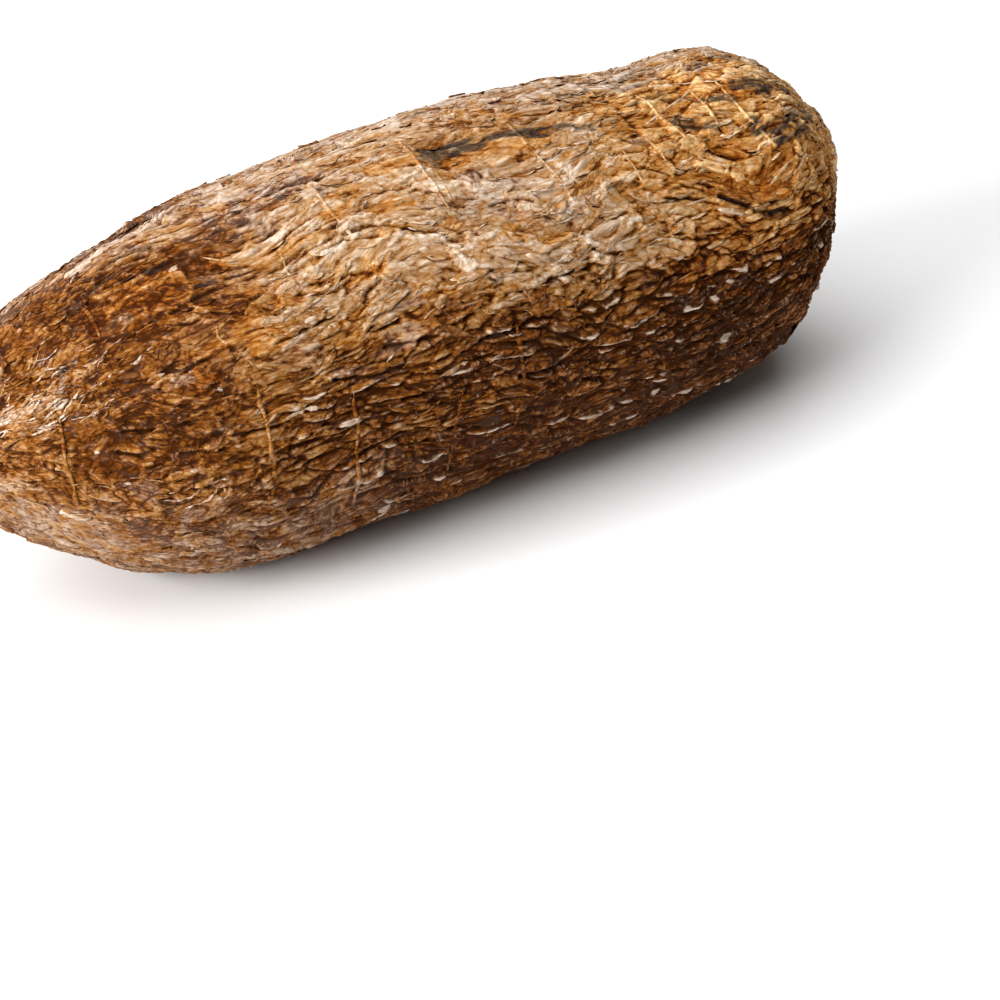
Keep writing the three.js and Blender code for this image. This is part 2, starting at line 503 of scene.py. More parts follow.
# Single cracks and the shadow gap below a plate: places, depth, half width.
CRACKS = [
    ([(204.5, 142.5), (208, 145.5), (212, 148.8)], 1.7, 0.9),
    ([(213, 150.6), (218, 154), (224, 155.5)], 1.7, 0.9),
    ([(190.5, 137), (195, 136.2), (200, 139.2)], 0.8, 0.5),
    ([(153, 126), (156, 127.8)], 0.9, 0.55),
    ([(165, 147), (168, 149.5), (172, 150.5)], 0.9, 0.55),
    ([(135, 142), (139, 144), (143, 145.5), (147, 147)], 0.9, 0.5),
    ([(129.5, 148.5), (132, 146.8), (136, 147.2)], 0.9, 0.55),
    ([(106.5, 95), (109, 97.2), (112, 97.5)], 0.7, 0.45),
    ([(110, 120), (113, 121), (117, 122.3)], 0.9, 0.5),
    ([(121, 119.5), (126, 120.5), (131, 122)], 0.7, 0.45),
    ([(110.5, 138.5), (112, 134.5), (114, 131.5)], 0.6, 0.5),
    ([(96, 128), (100, 130), (105, 130.5), (110, 131)], 0.8, 0.5),
    ([(66, 119.5), (72, 118), (78, 117.3), (84, 118.5), (93, 120.5)], 0.8, 0.5),
    ([(93, 130), (98, 132.5), (102, 133.6), (106, 132)], 0.8, 0.5),
    ([(107, 139.6), (108.5, 137), (112.3, 135.4)], 1.0, 0.6),
    ([(104.5, 91), (108, 92.6), (111, 95)], 0.6, 0.5),
    ([(178, 98.6), (184, 97.6), (191, 96), (201, 93.4), (214, 90.6), (226, 91.5)], 0.8, 0.6),
    ([(119.5, 119.8), (125, 121.6), (130, 124)], 0.6, 0.45),
    ([(189, 139.2), (194, 139.5), (199, 142), (203, 145)], 0.8, 0.6),
    ([(84, 141), (90, 140.2), (95, 139.6), (98.5, 140)], 1.1, 0.6),
    ([(106, 147.5), (109, 148.5), (113, 148)], 1.0, 0.65),
    ([(152, 144.5), (156, 143.5), (160, 143)], 0.6, 0.5),
    ([(170, 139), (174, 140.5), (178, 139.5)], 0.8, 0.5),
    ([(173, 157), (178, 157), (183, 160.5)], 1.0, 0.65),
    ([(118, 156), (124, 155), (131, 153.5)], 0.8, 0.5),
    ([(140, 152), (148, 152.5), (156, 151), (163, 152.5)], 0.9, 0.6),
    ([(60, 141.5), (65, 138.5), (70, 137.5)], 0.8, 0.5),
    ([(44, 164), (48, 165.8), (51.5, 163.8)], 1.0, 0.6),
    ([(46, 155.5), (54, 157), (60, 156)], 0.8, 0.5),
    ([(57, 166), (66, 166.5)], 0.7, 0.5),
    ([(69, 163), (80, 164.5)], 0.8, 0.55),
    ([(80, 172), (92, 173.5)], 0.8, 0.55),
    ([(84, 180), (96, 178.5)], 0.8, 0.5),
    ([(100, 184), (110, 182)], 0.8, 0.5),
    ([(94, 157), (104, 161), (112, 161)], 0.8, 0.5),
    ([(110, 171), (122, 172), (130, 170)], 0.9, 0.6),
    ([(128, 161), (140, 163), (150, 160)], 0.9, 0.6),
    ([(140, 177), (150, 178.5), (160, 176)], 0.9, 0.6),
    ([(158, 163), (168, 161), (176, 163)], 0.9, 0.6),
    ([(52, 98), (63, 98.5)], 0.6, 0.45),
    ([(58, 92), (70, 93.5)], 0.6, 0.45),
    ([(63, 100), (74, 101)], 0.6, 0.45),
    ([(118, 84), (134, 83), (142, 85)], 0.6, 0.5),
    ([(150, 92), (160, 90), (168, 91.5)], 0.5, 0.45),
    ([(176, 94), (186, 92), (196, 95)], 0.6, 0.45),
    ([(60, 18), (74, 22), (84, 20)], 0.8, 0.55),
    ([(112, 331), (130, 328), (148, 332)], 0.9, 0.6),
    ([(178, 12), (190, 9), (204, 12)], 0.9, 0.6),
    ([(96, 30), (110, 33), (124, 31)], 0.8, 0.55),
    ([(208, 342), (222, 338), (234, 340)], 0.9, 0.6),
    ([(60, 300), (78, 296), (92, 299)], 0.8, 0.6),
    ([(150, 55), (166, 58), (180, 56)], 0.8, 0.55),
]
more = np.random.default_rng(91)
for k in range(44):
    s_, d_ = more.uniform(48, 250), more.uniform(150, 240)
    if k >= 24:
        d_ = more.uniform(-50, 50)
    long_ = more.uniform(6, 15)
    tilt_ = more.normal(0, 1.6)
    places = [(s_, d_), (s_ + long_ / 2, d_ + tilt_ + more.normal(0, 1.0)), (s_ + long_, d_ + 1.6 * tilt_)]
    CRACKS.append((places, more.uniform(0.5, 1.1), more.uniform(0.32, 0.55)))
for k, (places, deep_, wide) in enumerate(CRACKS):
    crown = 1 if abs(places[0][1] - 105) < 38 else 0
    wide = (0.86 - 0.12 * crown) * wide
    deep_ = (0.85 - 0.2 * crown) * deep_
    d, across = line(places)
    d = d + 0.30 * wide * Noise(600 + k)(X0 / 1.8, Y0 / 1.8, Z0 / 1.8)
    cut = np.exp(-((d / wide) ** 2))
    height = height - deep_ * cut
    height = height + 0.32 * np.exp(-(((across + 1.9 * wide) / (1.3 * wide)) ** 2))
    gap = np.maximum(gap, cut)

# Dark stains, nearly black, that run along the grain, and painted shadow in the gaps under lifted plates: places,
# half width, depth.
STAINS_AND_GAP_SHADOWS = [
    ([(140.5, 100.8), (145.6, 100.6), (150.7, 101), (154, 101.7)], 2.5, 1.0),
    ([(152, 101.4), (156.7, 102.4), (163.5, 104.6), (170, 105.7)], 1.7, 1.0),
    ([(170, 105.5), (176.3, 106.6), (180.5, 110)], 1.0, 0.9),
    ([(202.5, 114.5), (205.4, 115.6), (208.3, 118.4), (211.5, 121.8)], 1.8, 1.0),
    ([(212, 109), (216, 110.4), (221.5, 112.8)], 1.1, 0.95),
    ([(205, 104.5), (214, 107)], 0.8, 0.7),
    ([(222.5, 125.5), (226, 129.8), (231, 129), (238, 127.4), (248, 125)], 2.4, 1.0),
    ([(226, 134), (232, 133.5), (240, 132.5)], 1.4, 0.9),
    ([(226, 107), (230, 109.3), (234.5, 111.6)], 2.0, 1.0),
    ([(236.5, 112), (241, 112.2), (247, 114)], 1.3, 1.0),
    ([(232, 116), (236, 113)], 0.9, 0.9),
    ([(196, 104), (203, 101), (209, 100)], 0.7, 0.6),
    ([(186, 116), (191, 119), (196, 121)], 0.8, 0.6),
    ([(224, 89), (232, 88), (241, 88)], 1.2, 0.5),
    ([(50, 96), (60, 95)], 0.7, 0.6),
    ([(60, 89), (72, 91)], 0.8, 0.6),
    ([(62, 100), (72, 101)], 0.6, 0.6),
    ([(75, 114.5), (78, 115.2)], 0.7, 0.9),
    ([(92, 101), (96, 103), (95, 107)], 0.9, 0.5),
    # painted shadow: the dark gaps under the lifted plates, along the cracks there
    ([(205.5, 143.8), (208.5, 146.2), (211.5, 149.2)], 0.62, 0.85),
    ([(213.5, 151.6), (218, 155), (222, 156)], 0.8, 0.9),
    ([(189, 139.6), (194, 140), (199, 142.4)], 0.35, 0.7),
    ([(170, 40), (192, 41)], 1.8, 0.8),
    ([(78, 10), (102, 11)], 1.5, 0.7),
    ([(204, 350), (228, 352)], 2.0, 0.8),
    ([(128, 300), (154, 302)], 1.8, 0.7),
]
streak_and_gap_shadow = np.zeros_like(S)
for places, wide, v in STAINS_AND_GAP_SHADOWS:
    d, across = line(places)
    d = d + 0.45 * wide * RAGGED
    streak_and_gap_shadow = np.maximum(streak_and_gap_shadow, v * smooth(1.35 * wide, 0.55 * wide, d))
height = height - 0.18 * streak_and_gap_shadow

# ---------------------------------------------------------------------------
# The ends: a cut stem scar and a broken tail
# ---------------------------------------------------------------------------
base = spindle(T, TH)
axis_r = np.hypot(
    base[..., 1] - base[..., 1].mean(1, keepdims=True),
    base[..., 2] - base[..., 2].mean(1, keepdims=True),
)
scar = smooth(9.6, 8.6, axis_r + 0.5 * RAGGED) * (S > 200)
stub = smooth(5.2, 3.6, axis_r + 0.3 * RAGGED) * (S < 60)
wood = np.maximum(scar, stub)
ringed = np.sin(axis_r * 2.6 + 1.2 * RAGGED)
spokes = Noise(161)(axis_r / 3.0, COS * 5.5, SIN * 5.5)
height = height * (1 - 0.92 * scar) * (1 - 0.7 * stub)
height = height + scar * (0.10 * ringed + 0.22 * spokes - 0.5)
height = height - scar * 0.9 * np.exp(-((axis_r / 1.5) ** 2))
height = height + 0.7 * np.exp(-(((axis_r - 10.2) / 1.1) ** 2)) * (S > 200)
height = height + stub * 0.35 * spokes

# ---------------------------------------------------------------------------
# Skin vertices
# ---------------------------------------------------------------------------
height = height - float(np.mean(height))
height = np.clip(height, -1.7, 1.5)
fade = smooth(0.0, 5.0, np.minimum(S, SKIN_LENGTH - S))
height *= 0.35 + 0.65 * fade
push_s *= fade * (1 - wood)
push_w *= fade * (1 - wood)
# no part of the skin may fold over itself
push_w = np.clip((np.roll(push_w, 1, 1) + 2 * push_w + np.roll(push_w, -1, 1)) / 4, -0.3, 0.3)
push_s = np.clip(push_s, -0.3, 0.3)
tight = np.clip(0.62 / (np.abs(slopes(push_w)[1]) + 1e-6), 0, 1)
for _ in range(2):
    tight = np.minimum(tight, np.minimum(np.roll(tight, 1, 1), np.roll(tight, -1, 1)))
push_w *= tight
tight = np.clip(0.6 / (np.abs(slopes(push_s)[0]) + 1e-6), 0, 1)
push_s *= tight

e_s = np.gradient(base, axis=0)
e_w = np.roll(base, -1, 1) - np.roll(base, 1, 1)
nrm = np.cross(e_w, e_s)
e_s /= np.linalg.norm(e_s, axis=-1, keepdims=True) + 1e-9
e_w /= np.linalg.norm(e_w, axis=-1, keepdims=True) + 1e-9
nrm /= np.linalg.norm(nrm, axis=-1, keepdims=True) + 1e-9
nrm *= np.sign(np.mean((base - base.mean(1, keepdims=True)) * nrm))
PTS = (
    base + nrm * height[..., None] + e_s * push_s[..., None] + e_w * push_w[..., None]
)
PTS[..., 2] = np.maximum(PTS[..., 2], 0.02)
TAIL = PTS[0].mean(0) - np.array([0.25, 0, 0])
STEM = PTS[-1].mean(0)


def grid_normals(p):
    """Normals of the whole skin, so that the strips' shading meets."""
    n = np.cross(np.roll(p, -1, 1) - np.roll(p, 1, 1), np.gradient(p, axis=0))
    n /= np.linalg.norm(n, axis=-1, keepdims=True) + 1e-12
    if np.mean(((p - p.mean(1, keepdims=True)) * n).sum(-1)) < 0:
        n = -n
    return n


NORMALS = grid_normals(PTS)
SMOOTH_H = blur(height, 2.6, 1.1)

# ---------------------------------------------------------------------------
# Colour masks
# ---------------------------------------------------------------------------
bulge = height - SMOOTH_H
fine_bulge = height - blur(height, 0.9, 0.55)
# edge: painted highlight on raised crests, lifted rims and lips, together with the paler torn edges of the bark
# there
edge = np.clip(
    smooth(0.10, 0.45, bulge) * 0.18
    + smooth(0.05, 0.20, fine_bulge) * 0.45
    + 0.30 * rim_all
    + 0.9 * LIPS,
    0,
    1,
)
# hollow_shade: painted shade, darker in hollows, cracks and the gaps between scales
hollow_shade = np.clip(
    smooth(0.10, 0.55, -bulge) * 0.7 + smooth(0.06, 0.24, -fine_bulge) * 0.4 + (0.25 + 0.4 * blocky) * gap,
    0,
    1,
)

# How light the bark is: tan and dusty along the crest in the middle, brown on
# the flanks and darker low on the right one, partly as painted shade, ochre toward the stem.
off_crest = np.abs(angle_to(100)) + 4 * RAGGED + 4 * BROAD
middle = band(90, 212, S + 7 * BROAD, 12)
tone = 0.37 + 0.07 * BROAD + 0.05 * RAGGED
lit = 0.36 * middle * (1 - smooth(44, 58, off_crest - 9 * band(150, 200, S, 12)))
lit2 = 0.41 * smooth(182, 204, S) * (1 - smooth(45, 75, off_crest))
tone = tone + lit + lit2 - 1.7 * lit * lit2
# darker low on the right flank: partly darker bark, partly painted shade
flank = band(158, 238, DEG + 5 * RAGGED, 9)
tone = tone - 0.22 * flank * smooth(90, 132, S) * (1 - 0.5 * smooth(225, 250, S))
for s_, d_, hs_, hw_, v in [
    (66, 108, 22, 12, -0.14),
    (60, 186, 30, 16, -0.05),
    (80, 225, 50, 14, 0.12),
    (150, 215, 50, 10, -0.06),
    (125, 107, 12, 8, 0.06),
    (185, 84, 16, 5, 0.04),
    # painted light: lighter at the stem end, where the lamps leave it darker
    (246, 132, 16, 20, 0.18),
    (110, 76, 80, 9, -0.05),
    (215, 112, 24, 10, 0.05),
    (160, 108, 8, 3.5, -0.04),
    (60, 92, 20, 5, -0.08),
    (86, 100, 14, 6, -0.05),
    (100, 95, 10, 8, -0.10),
    (112, 100, 10, 9, -0.06),
    (145, 100, 50, 6, -0.07),
    (50, 150, 16, 10, -0.06),
    (60, 164, 16, 7, -0.10),
    (24, 140, 8, 6, 0.12),
    (36, 126, 12, 9, -0.04),
    (26, 200, 14, 14, 0.16),
    (36, 214, 12, 8, 0.14),
    (88.5, 136, 5.5, 4, 0.12),
    (103.5, 125, 8, 4.5, 0.12),
    (120, 113, 10, 8, 0.06),
    (145, 125, 7, 4.5, 0.08),
    (197, 145.5, 8, 4, 0.20),
    (227.5, 119, 5, 3, 0.14),
    (160, 104.5, 8, 3, -0.06),
    (183, 109, 9, 6, 0.04),
    (212, 102, 12, 6, 0.02),
    (190, 162, 26, 8, -0.12),
    (60, 340, 25, 14, 0.12),
    (170, 350, 30, 14, 0.15),
    (120, 290, 26, 16, -0.06),
    (215, 20, 20, 14, 0.14),
    (150, 50, 34, 10, 0.10),
    (160, 156, 12, 7, 0.14),
    (184, 160, 14, 8, 0.20),
    (169, 135, 12, 7, 0.10),
    (149, 129, 11, 6, 0.12),
    (126, 158, 8, 4, 0.14),
    (210, 163, 12, 6, 0.14),
    (223, 162, 10, 7, 0.18),
    (84, 84, 15, 7, 0.26),
    (71, 91, 8, 4, 0.12),
    # painted shade: the top near the tail made darker than the lamps leave it
    (37, 104, 14, 9, -0.16),
    (30, 118, 8, 5, -0.06),
    (248, 92, 12, 10, 0.22),
    (160, 65, 14, 7, 0.18),
    (212, 112, 14, 9, -0.04),
    (242, 96, 16, 11, 0.18),
    (222, 94, 12, 7, 0.12),
    (213, 133, 12, 7, 0.10),
    (230, 122, 10, 6, 0.08),
    (260, 158, 10, 10, 0.14),
    (238, 116, 10, 7, 0.12),
    (262, 140, 10, 12, 0.16),
    (177, 108, 8, 5, -0.10),
    (197, 106, 9, 5, -0.06),
    (211, 150, 6, 4, -0.06),
    (77, 140, 9, 5, -0.10),
    (92, 142, 7, 4, -0.10),
    (34, 200, 12, 7, -0.12),
    (58, 105, 8, 6, -0.06),
    (114, 101, 5, 7, 0.08),
    (83, 153, 8, 5, 0.08),
    (101, 187, 8, 6, -0.05),
    (170, 206, 40, 16, -0.06),
    (98, 100, 8, 5, -0.08),
    (208, 134, 10, 6, -0.15),
    (194, 143, 6, 4, 0.14),
    (170.5, 135, 6, 4, 0.10),
    (260, 162, 6, 7, 0.12),
    (246, 92, 8, 6, 0.10),
    (160, 66, 10, 6, 0.14),
    (148, 137, 6, 5, 0.09),
    (94, 112.4, 6, 4, -0.14),
]:
    tone = tone + v * spot(s_, d_, hs_, hw_, 0.7)
tone = np.where(tone > 0.78, 0.78 + 0.5 * (tone - 0.78), tone)
tone = np.where(tone < 0.24, 0.24 - 0.6 * (0.24 - tone), tone)

# Grey, powdery bark along the top edge; round the underside the grey is partly powdery bark, partly painted light,
# the pale bounce from the floor.
grey = band(8, 82, (DEG + 40) % 360 - 40 + 8 * RAGGED * 0.7, 11) * 0.85
# less of it low on the right flank, which stays darker there as painted shade
grey = np.maximum(grey, band(192, 345, DEG + 6 * RAGGED, 9) * (0.6 - 0.45 * smooth(95, 130, S) * (1 - smooth(240, 262, DEG))))
grey = grey + 0.16 * band(188, 262, DEG + 6 * RAGGED, 9) * (1 - smooth(88, 110, S))
grey = np.maximum(grey, 0.5 * spot(146, 121, 12, 5) + 0.5 * spot(104, 96, 20, 6, 0.5))
grey = np.maximum(grey, 0.55 * smooth(0.7, 1.5, fbm(171, X / 14, Y / 6, Z / 6, 2)))
grey = np.maximum(grey, 0.5 * smooth(262, 272, S))
grey = np.maximum(grey, 0.7 * spot(186, 87, 17, 5, 0.5, 0.6))
grey = np.maximum(grey, 0.7 * spot(212, 83, 14, 4, 0.5, 0.6))
grey = np.maximum(grey, 0.8 * spot(100, 92, 18, 7, 0.6))
grey = grey + 0.14 * upside * band(60, 200, S, 14)
grey = np.clip(grey, 0, 1)
# The stem end is a clearer, more golden brown.
gold = smooth(172, 200, S + 5 * BROAD) * band(88, 168, DEG + 5 * RAGGED, 8) * (1 - smooth(255, 268, S))
glimpse = smooth(0.15, 0.9, fbm(191, X / 12, Y / 5, Z / 5, 2))
gold = np.maximum(gold, 0.9 * glimpse * upside * band(60, 215, S, 10))
tone = tone - 0.07 * glimpse * upside * band(60, 215, S, 10)
stem_end = smooth(168, 192, S) * band(96, 165, DEG + 4 * RAGGED, 7)
grey = grey * (1 - 0.85 * stem_end)
gold = np.maximum(gold, spot(160, 108.5, 9, 3.5, 0.5))
gold = np.maximum(gold, 0.8 * spot(64, 108, 12, 7, 0.5))
gold = gold * (1 - smooth(0.15, 0.6, grey))

# Bare pale inner bark where a flake has torn away.
white = np.zeros_like(S)
for s_, d_, hs_, hw_, v in [
    (207.5, 132.2, 1.1, 0.7, 0.9),
    (72.5, 104.5, 0.8, 0.55, 0.9),
    (56, 113.5, 0.55, 0.45, 0.85),
    (39.5, 163, 0.42, 0.34, 0.8),
    (45, 177.5, 0.42, 0.34, 0.8),
    (49.5, 145, 1.2, 0.7, 0.35),
    (60, 140.6, 0.5, 0.4, 0.7),
    (62, 140.2, 0.4, 0.35, 0.6),
    (64, 139.8, 0.4, 0.35, 0.6),
    (69, 148, 0.6, 0.4, 0.55),
    (95.5, 132, 1.4, 0.6, 0.45),
    (162, 150, 1.2, 0.6, 0.5),
    (184, 196, 2.4, 0.6, 0.5),
    (240, 148, 0.9, 0.6, 0.8),
    (22, 139, 6.0, 2.2, 0.42),
    (27, 143, 5, 1.6, 0.38),
    (31, 136, 6, 2.2, 0.40),
    (36, 131, 5, 1.6, 0.36),
    (39, 125, 4, 1.2, 0.34),
    (120, 90.5, 2.2, 0.7, 0.5),
    (190, 30, 2.6, 0.8, 0.45),
    (120, 322, 2.2, 0.7, 0.45),
]:
    white = np.maximum(white, v * spot(s_, d_, hs_, hw_, 0.5, 0.8))
for places, wide, v in [
    ([(56, 80.5), (62, 78), (70, 75), (79, 72.5)], 2.2, 0.60),
    ([(79, 76), (85, 74.5), (92, 73)], 0.8, 0.45),
    ([(108, 85), (120, 83.5)], 0.7, 0.4),
]:
    d, across = line(places)
    white = np.maximum(white, v * smooth(1.3 * wide, 0.7 * wide, d + 0.4 * wide * RAGGED))
chips = smooth(1.35, 1.75, fbm(181, X / 3.4, Y / 1.5, Z / 1.5, 2))
near_tail = np.maximum(smooth(48, 30, S) * band(110, 160, DEG, 12), 0.2)
white = np.maximum(white, 0.9 * chips * np.clip(edge * 1.6, 0, 1) * near_tail * 1.2)
white = np.maximum(white, 0.68 * LIPS_PALE)
white = np.clip(white, 0, 1)

# bark_a: painted highlight, painted shade, tone, flake tone
mask_a = np.stack(
    [
        edge * (1 - 0.35 * low),
        hollow_shade * (1 - 0.35 * low),
        np.clip(tone, 0, 1),
        0.5 + 0.5 * np.tanh(flake_tone * (1 - 0.5 * low)),
    ],
    -1,
)
# grey and gold share one channel: 0.4 is neither
mask_b = np.stack([0.4 + 0.6 * grey - 0.4 * gold, streak_and_gap_shadow, white, wood], -1)

# ---------------------------------------------------------------------------
# Material
# ---------------------------------------------------------------------------


class Graph:
    """Short names for building a node tree."""

    def __init__(self, mat):
        mat.use_nodes = True
        self.nt = mat.node_tree
        self.nt.nodes.clear()

    def node(self, kind, **sets):
        n = self.nt.nodes.new(kind)
        for k, v in sets.items():
            setattr(n, k, v)
        return n

    def link(self, a, b):
        self.nt.links.new(a, b)

    def attr(self, name):
        return self.node("ShaderNodeAttribute", attribute_name=name)

    def math(self, op, a, b=None, c=None, clamp=False):
        n = self.node("ShaderNodeMath", operation=op, use_clamp=clamp)
        for i, v in enumerate((a, b, c)):
            if v is None:
                continue
            if isinstance(v, (int, float)):
                n.inputs[i].default_value = v
            else:
                self.link(v, n.inputs[i])
        return n.outputs[0]

    def lift(self, v, lo, hi):
        """0 at lo, 1 at hi, smooth between."""
        n = self.node("ShaderNodeMapRange", interpolation_type="SMOOTHSTEP")
        n.inputs["From Min"].default_value = lo
        n.inputs["From Max"].default_value = hi
        self.link(v, n.inputs["Value"])
        return n.outputs[0]

    def mix(self, fac, a, b, blend="MIX"):
        n = self.node("ShaderNodeMix", data_type="RGBA", blend_type=blend)
        for i, v in ((0, fac), (6, a), (7, b)):
            if isinstance(v, (int, float, tuple)):
                n.inputs[i].default_value = v
            else:
                self.link(v, n.inputs[i])
        return n.outputs[2]

    def ramp(self, fac, stops):
        n = self.node("ShaderNodeValToRGB")
        el = n.color_ramp.elements
        while len(el) > 1:
            el.remove(el[-1])
        el[0].position, el[0].color = stops[0][0], (*stops[0][1], 1)
        for pos, col in stops[1:]:
            e = el.new(pos)
            e.color = (*col, 1)
        self.link(fac, n.inputs[0])
        return n.outputs[0]

    def noise(self, vec, scale, detail=3, rough=0.55):
        n = self.node("ShaderNodeTexNoise")
        n.inputs["Scale"].default_value = scale
        n.inputs["Detail"].default_value = detail
        n.inputs["Roughness"].default_value = rough
        self.link(vec, n.inputs["Vector"])
        return n.outputs[0]


def bark_material():
    mat = bpy.data.materials.new("cassava_bark")
    g = Graph(mat)
    out = g.node("ShaderNodeOutputMaterial")
    p = g.node("ShaderNodeBsdfPrincipled")
    g.link(p.outputs[0], out.inputs["Surface"])

    def split(name):
        at = g.attr(name)
        sep = g.node("ShaderNodeSeparateColor")
        g.link(at.outputs["Color"], sep.inputs[0])
        return (*sep.outputs[:3], at.outputs["Alpha"])

    # edge_ carries painted highlight, deep_ painted shade
    edge_, deep_, tone_, flake_ = split("bark_a")
    both_, streak_and_gap_shadow_, white_, wood_ = split("bark_b")
    grey_ = g.math("MULTIPLY_ADD", both_, 1 / 0.6, -0.4 / 0.6, clamp=True)
    gold_ = g.math("MULTIPLY_ADD", both_, -1 / 0.4, 1.0, clamp=True)
    co = g.attr("bark_place").outputs["Vector"]
    along_ = g.node("ShaderNodeMapping")
    along_.inputs["Scale"].default_value = (0.16, 1.0, 1.0)
    g.link(co, along_.inputs[0])
    fibre = g.noise(along_.outputs[0], 1500, 3, 0.6)
    streaky = g.noise(along_.outputs[0], 420, 3, 0.6)
    speck = g.noise(co, 1100, 2, 0.6)
    blotch = g.noise(co, 240, 3, 0.6)

    def centred(v, k):
        return g.math("MULTIPLY_ADD", v, k, -0.5 * k)

    # slivers too small to model: each with its own tone, dark where they part
    bend = g.node("ShaderNodeTexNoise")
    bend.inputs["Scale"].default_value = 620
    bend.inputs["Detail"].default_value = 4
    bend.inputs["Roughness"].default_value = 0.62
    g.link(co, bend.inputs["Vector"])
    sway = g.node("ShaderNodeVectorMath", operation="MULTIPLY_ADD")
    g.link(bend.outputs["Color"], sway.inputs[0])
    sway.inputs[1].default_value = (0.0008, 0.0006, 0.0006)
    g.link(co, sway.inputs[2])
    long_ = g.node("ShaderNodeMapping")
    long_.inputs["Scale"].default_value = (0.48, 1.0, 1.0)
    g.link(sway.outputs[0], long_.inputs[0])
    sliver = g.node("ShaderNodeTexVoronoi")
    sliver.inputs["Scale"].default_value = 950
    g.link(long_.outputs[0], sliver.inputs["Vector"])
    parted = g.node("ShaderNodeTexVoronoi", feature="DISTANCE_TO_EDGE")
    parted.inputs["Scale"].default_value = 950
    g.link(long_.outputs[0], parted.inputs["Vector"])
    own_ = g.node("ShaderNodeSeparateColor")
    g.link(sliver.outputs["Color"], own_.inputs[0])
    seam = g.lift(parted.outputs["Distance"], 0.0, 0.26)

    # small plates, with thin dark joints that come and go
    flat_ = g.node("ShaderNodeMapping")
    flat_.inputs["Scale"].default_value = (0.45, 1.0, 1.0)
    g.link(sway.outputs[0], flat_.inputs[0])
    plate = g.node("ShaderNodeTexVoronoi")
    joint = g.node("ShaderNodeTexVoronoi", feature="DISTANCE_TO_EDGE")
    for n in (plate, joint):
        n.inputs["Scale"].default_value = 370
        g.link(flat_.outputs[0], n.inputs["Vector"])
    plate_own = g.node("ShaderNodeSeparateColor")
    g.link(plate.outputs["Color"], plate_own.inputs[0])
    meet = g.math("SUBTRACT", 1.0, g.lift(joint.outputs["Distance"], 0.01, 0.12))
    meet = g.math("MULTIPLY", meet, g.lift(blotch, 0.44, 0.56))

    t = g.math("ADD", tone_, centred(flake_, 0.5))
    t = g.math("ADD", t, centred(own_.outputs[0], 0.18))
    t = g.math("ADD", t, g.math("MULTIPLY_ADD", seam, 0.17, -0.12))
    t = g.math("ADD", t, centred(plate_own.outputs[0], 0.22))
    t = g.math("ADD", t, g.math("MULTIPLY", meet, -0.24))
    t = g.math("ADD", t, centred(fibre, 0.26))
    t = g.math("ADD", t, centred(streaky, 0.42))
    t = g.math("ADD", t, centred(blotch, 0.35))
    t = g.math("ADD", t, centred(speck, 0.20))
    # painted shade of small pits: darker spots where the speck noise is low
    t = g.math("ADD", t, g.math("MULTIPLY_ADD", g.lift(speck, 0.30, 0.40), 0.16, -0.15))
    # painted highlight: lighter on raised crests and rims
    t = g.math("ADD", t, g.math("MULTIPLY", edge_, 0.20))
    # painted shade: darker in hollows and cracks
    t = g.math("ADD", t, g.math("MULTIPLY", deep_, -0.38))
    col = g.ramp(
        g.math("MULTIPLY", t, 0.8),
        [
            (0.00, (0.040, 0.010, 0.001)),
            (0.144, (0.114, 0.031, 0.003)),
            (0.288, (0.212, 0.074, 0.012)),
            (0.432, (0.312, 0.147, 0.043)),
            (0.56, (0.386, 0.223, 0.108)),
            (0.68, (0.466, 0.315, 0.196)),
            (0.80, (0.590, 0.460, 0.342)),
            (1.00, (0.690, 0.580, 0.470)),
        ],
    )
    # powdery grey, and round the underside painted bounce light from the floor
    powder_and_bounce = g.math("MULTIPLY", grey_, g.lift(blotch, 0.34, 0.58))
    # now and then a sliver is grey, or orange where the bark below shows
    powder_and_bounce = g.math("MAXIMUM", powder_and_bounce, g.math("MULTIPLY", g.lift(own_.outputs[1], 0.80, 0.90), 0.24))
    col = g.mix(
        g.math("MULTIPLY", powder_and_bounce, 0.70),
        col,
        g.mix(
            g.lift(g.math("ADD", t, centred(speck, 0.6)), 0.1, 0.9),
            (0.110, 0.066, 0.046, 1),
            (0.520, 0.420, 0.360, 1),
        ),
    )
    fresh = g.math("MULTIPLY", g.lift(own_.outputs[2], 0.84, 0.90), g.math("SUBTRACT", 1.0, powder_and_bounce))
    fresh = g.math("MULTIPLY", fresh, g.lift(t, 0.15, 0.55))
    col = g.mix(g.math("MULTIPLY", fresh, 0.26), col, (0.42, 0.16, 0.02, 1))
    # painted highlight: cream on raised crests, with the pale torn edges
    crest = g.math("MULTIPLY", edge_, g.lift(speck, 0.52, 0.68))
    col = g.mix(g.math("MULTIPLY", crest, 0.38), col, (0.66, 0.50, 0.36, 1))
    col = g.mix(gold_, col, (1.18, 0.98, 0.62, 1), "MULTIPLY")
    # painted shade: nearly black deep in hollows and cracks
    crevice_shade = g.math("MULTIPLY", deep_, g.math("MULTIPLY_ADD", streaky, -0.6, 1.1))
    col = g.mix(g.lift(crevice_shade, 0.32, 1.12), col, (0.026, 0.007, 0.001, 1))
    torn = g.lift(g.math("ADD", white_, centred(fibre, 0.7)), 0.30, 0.62)
    torn = g.math("MULTIPLY", torn, g.lift(white_, 0.02, 0.25))
    col = g.mix(g.math("MULTIPLY", torn, 0.86), col, g.mix(g.lift(fibre, 0.3, 0.7), (0.42, 0.30, 0.21, 1), (0.70, 0.57, 0.46, 1)))
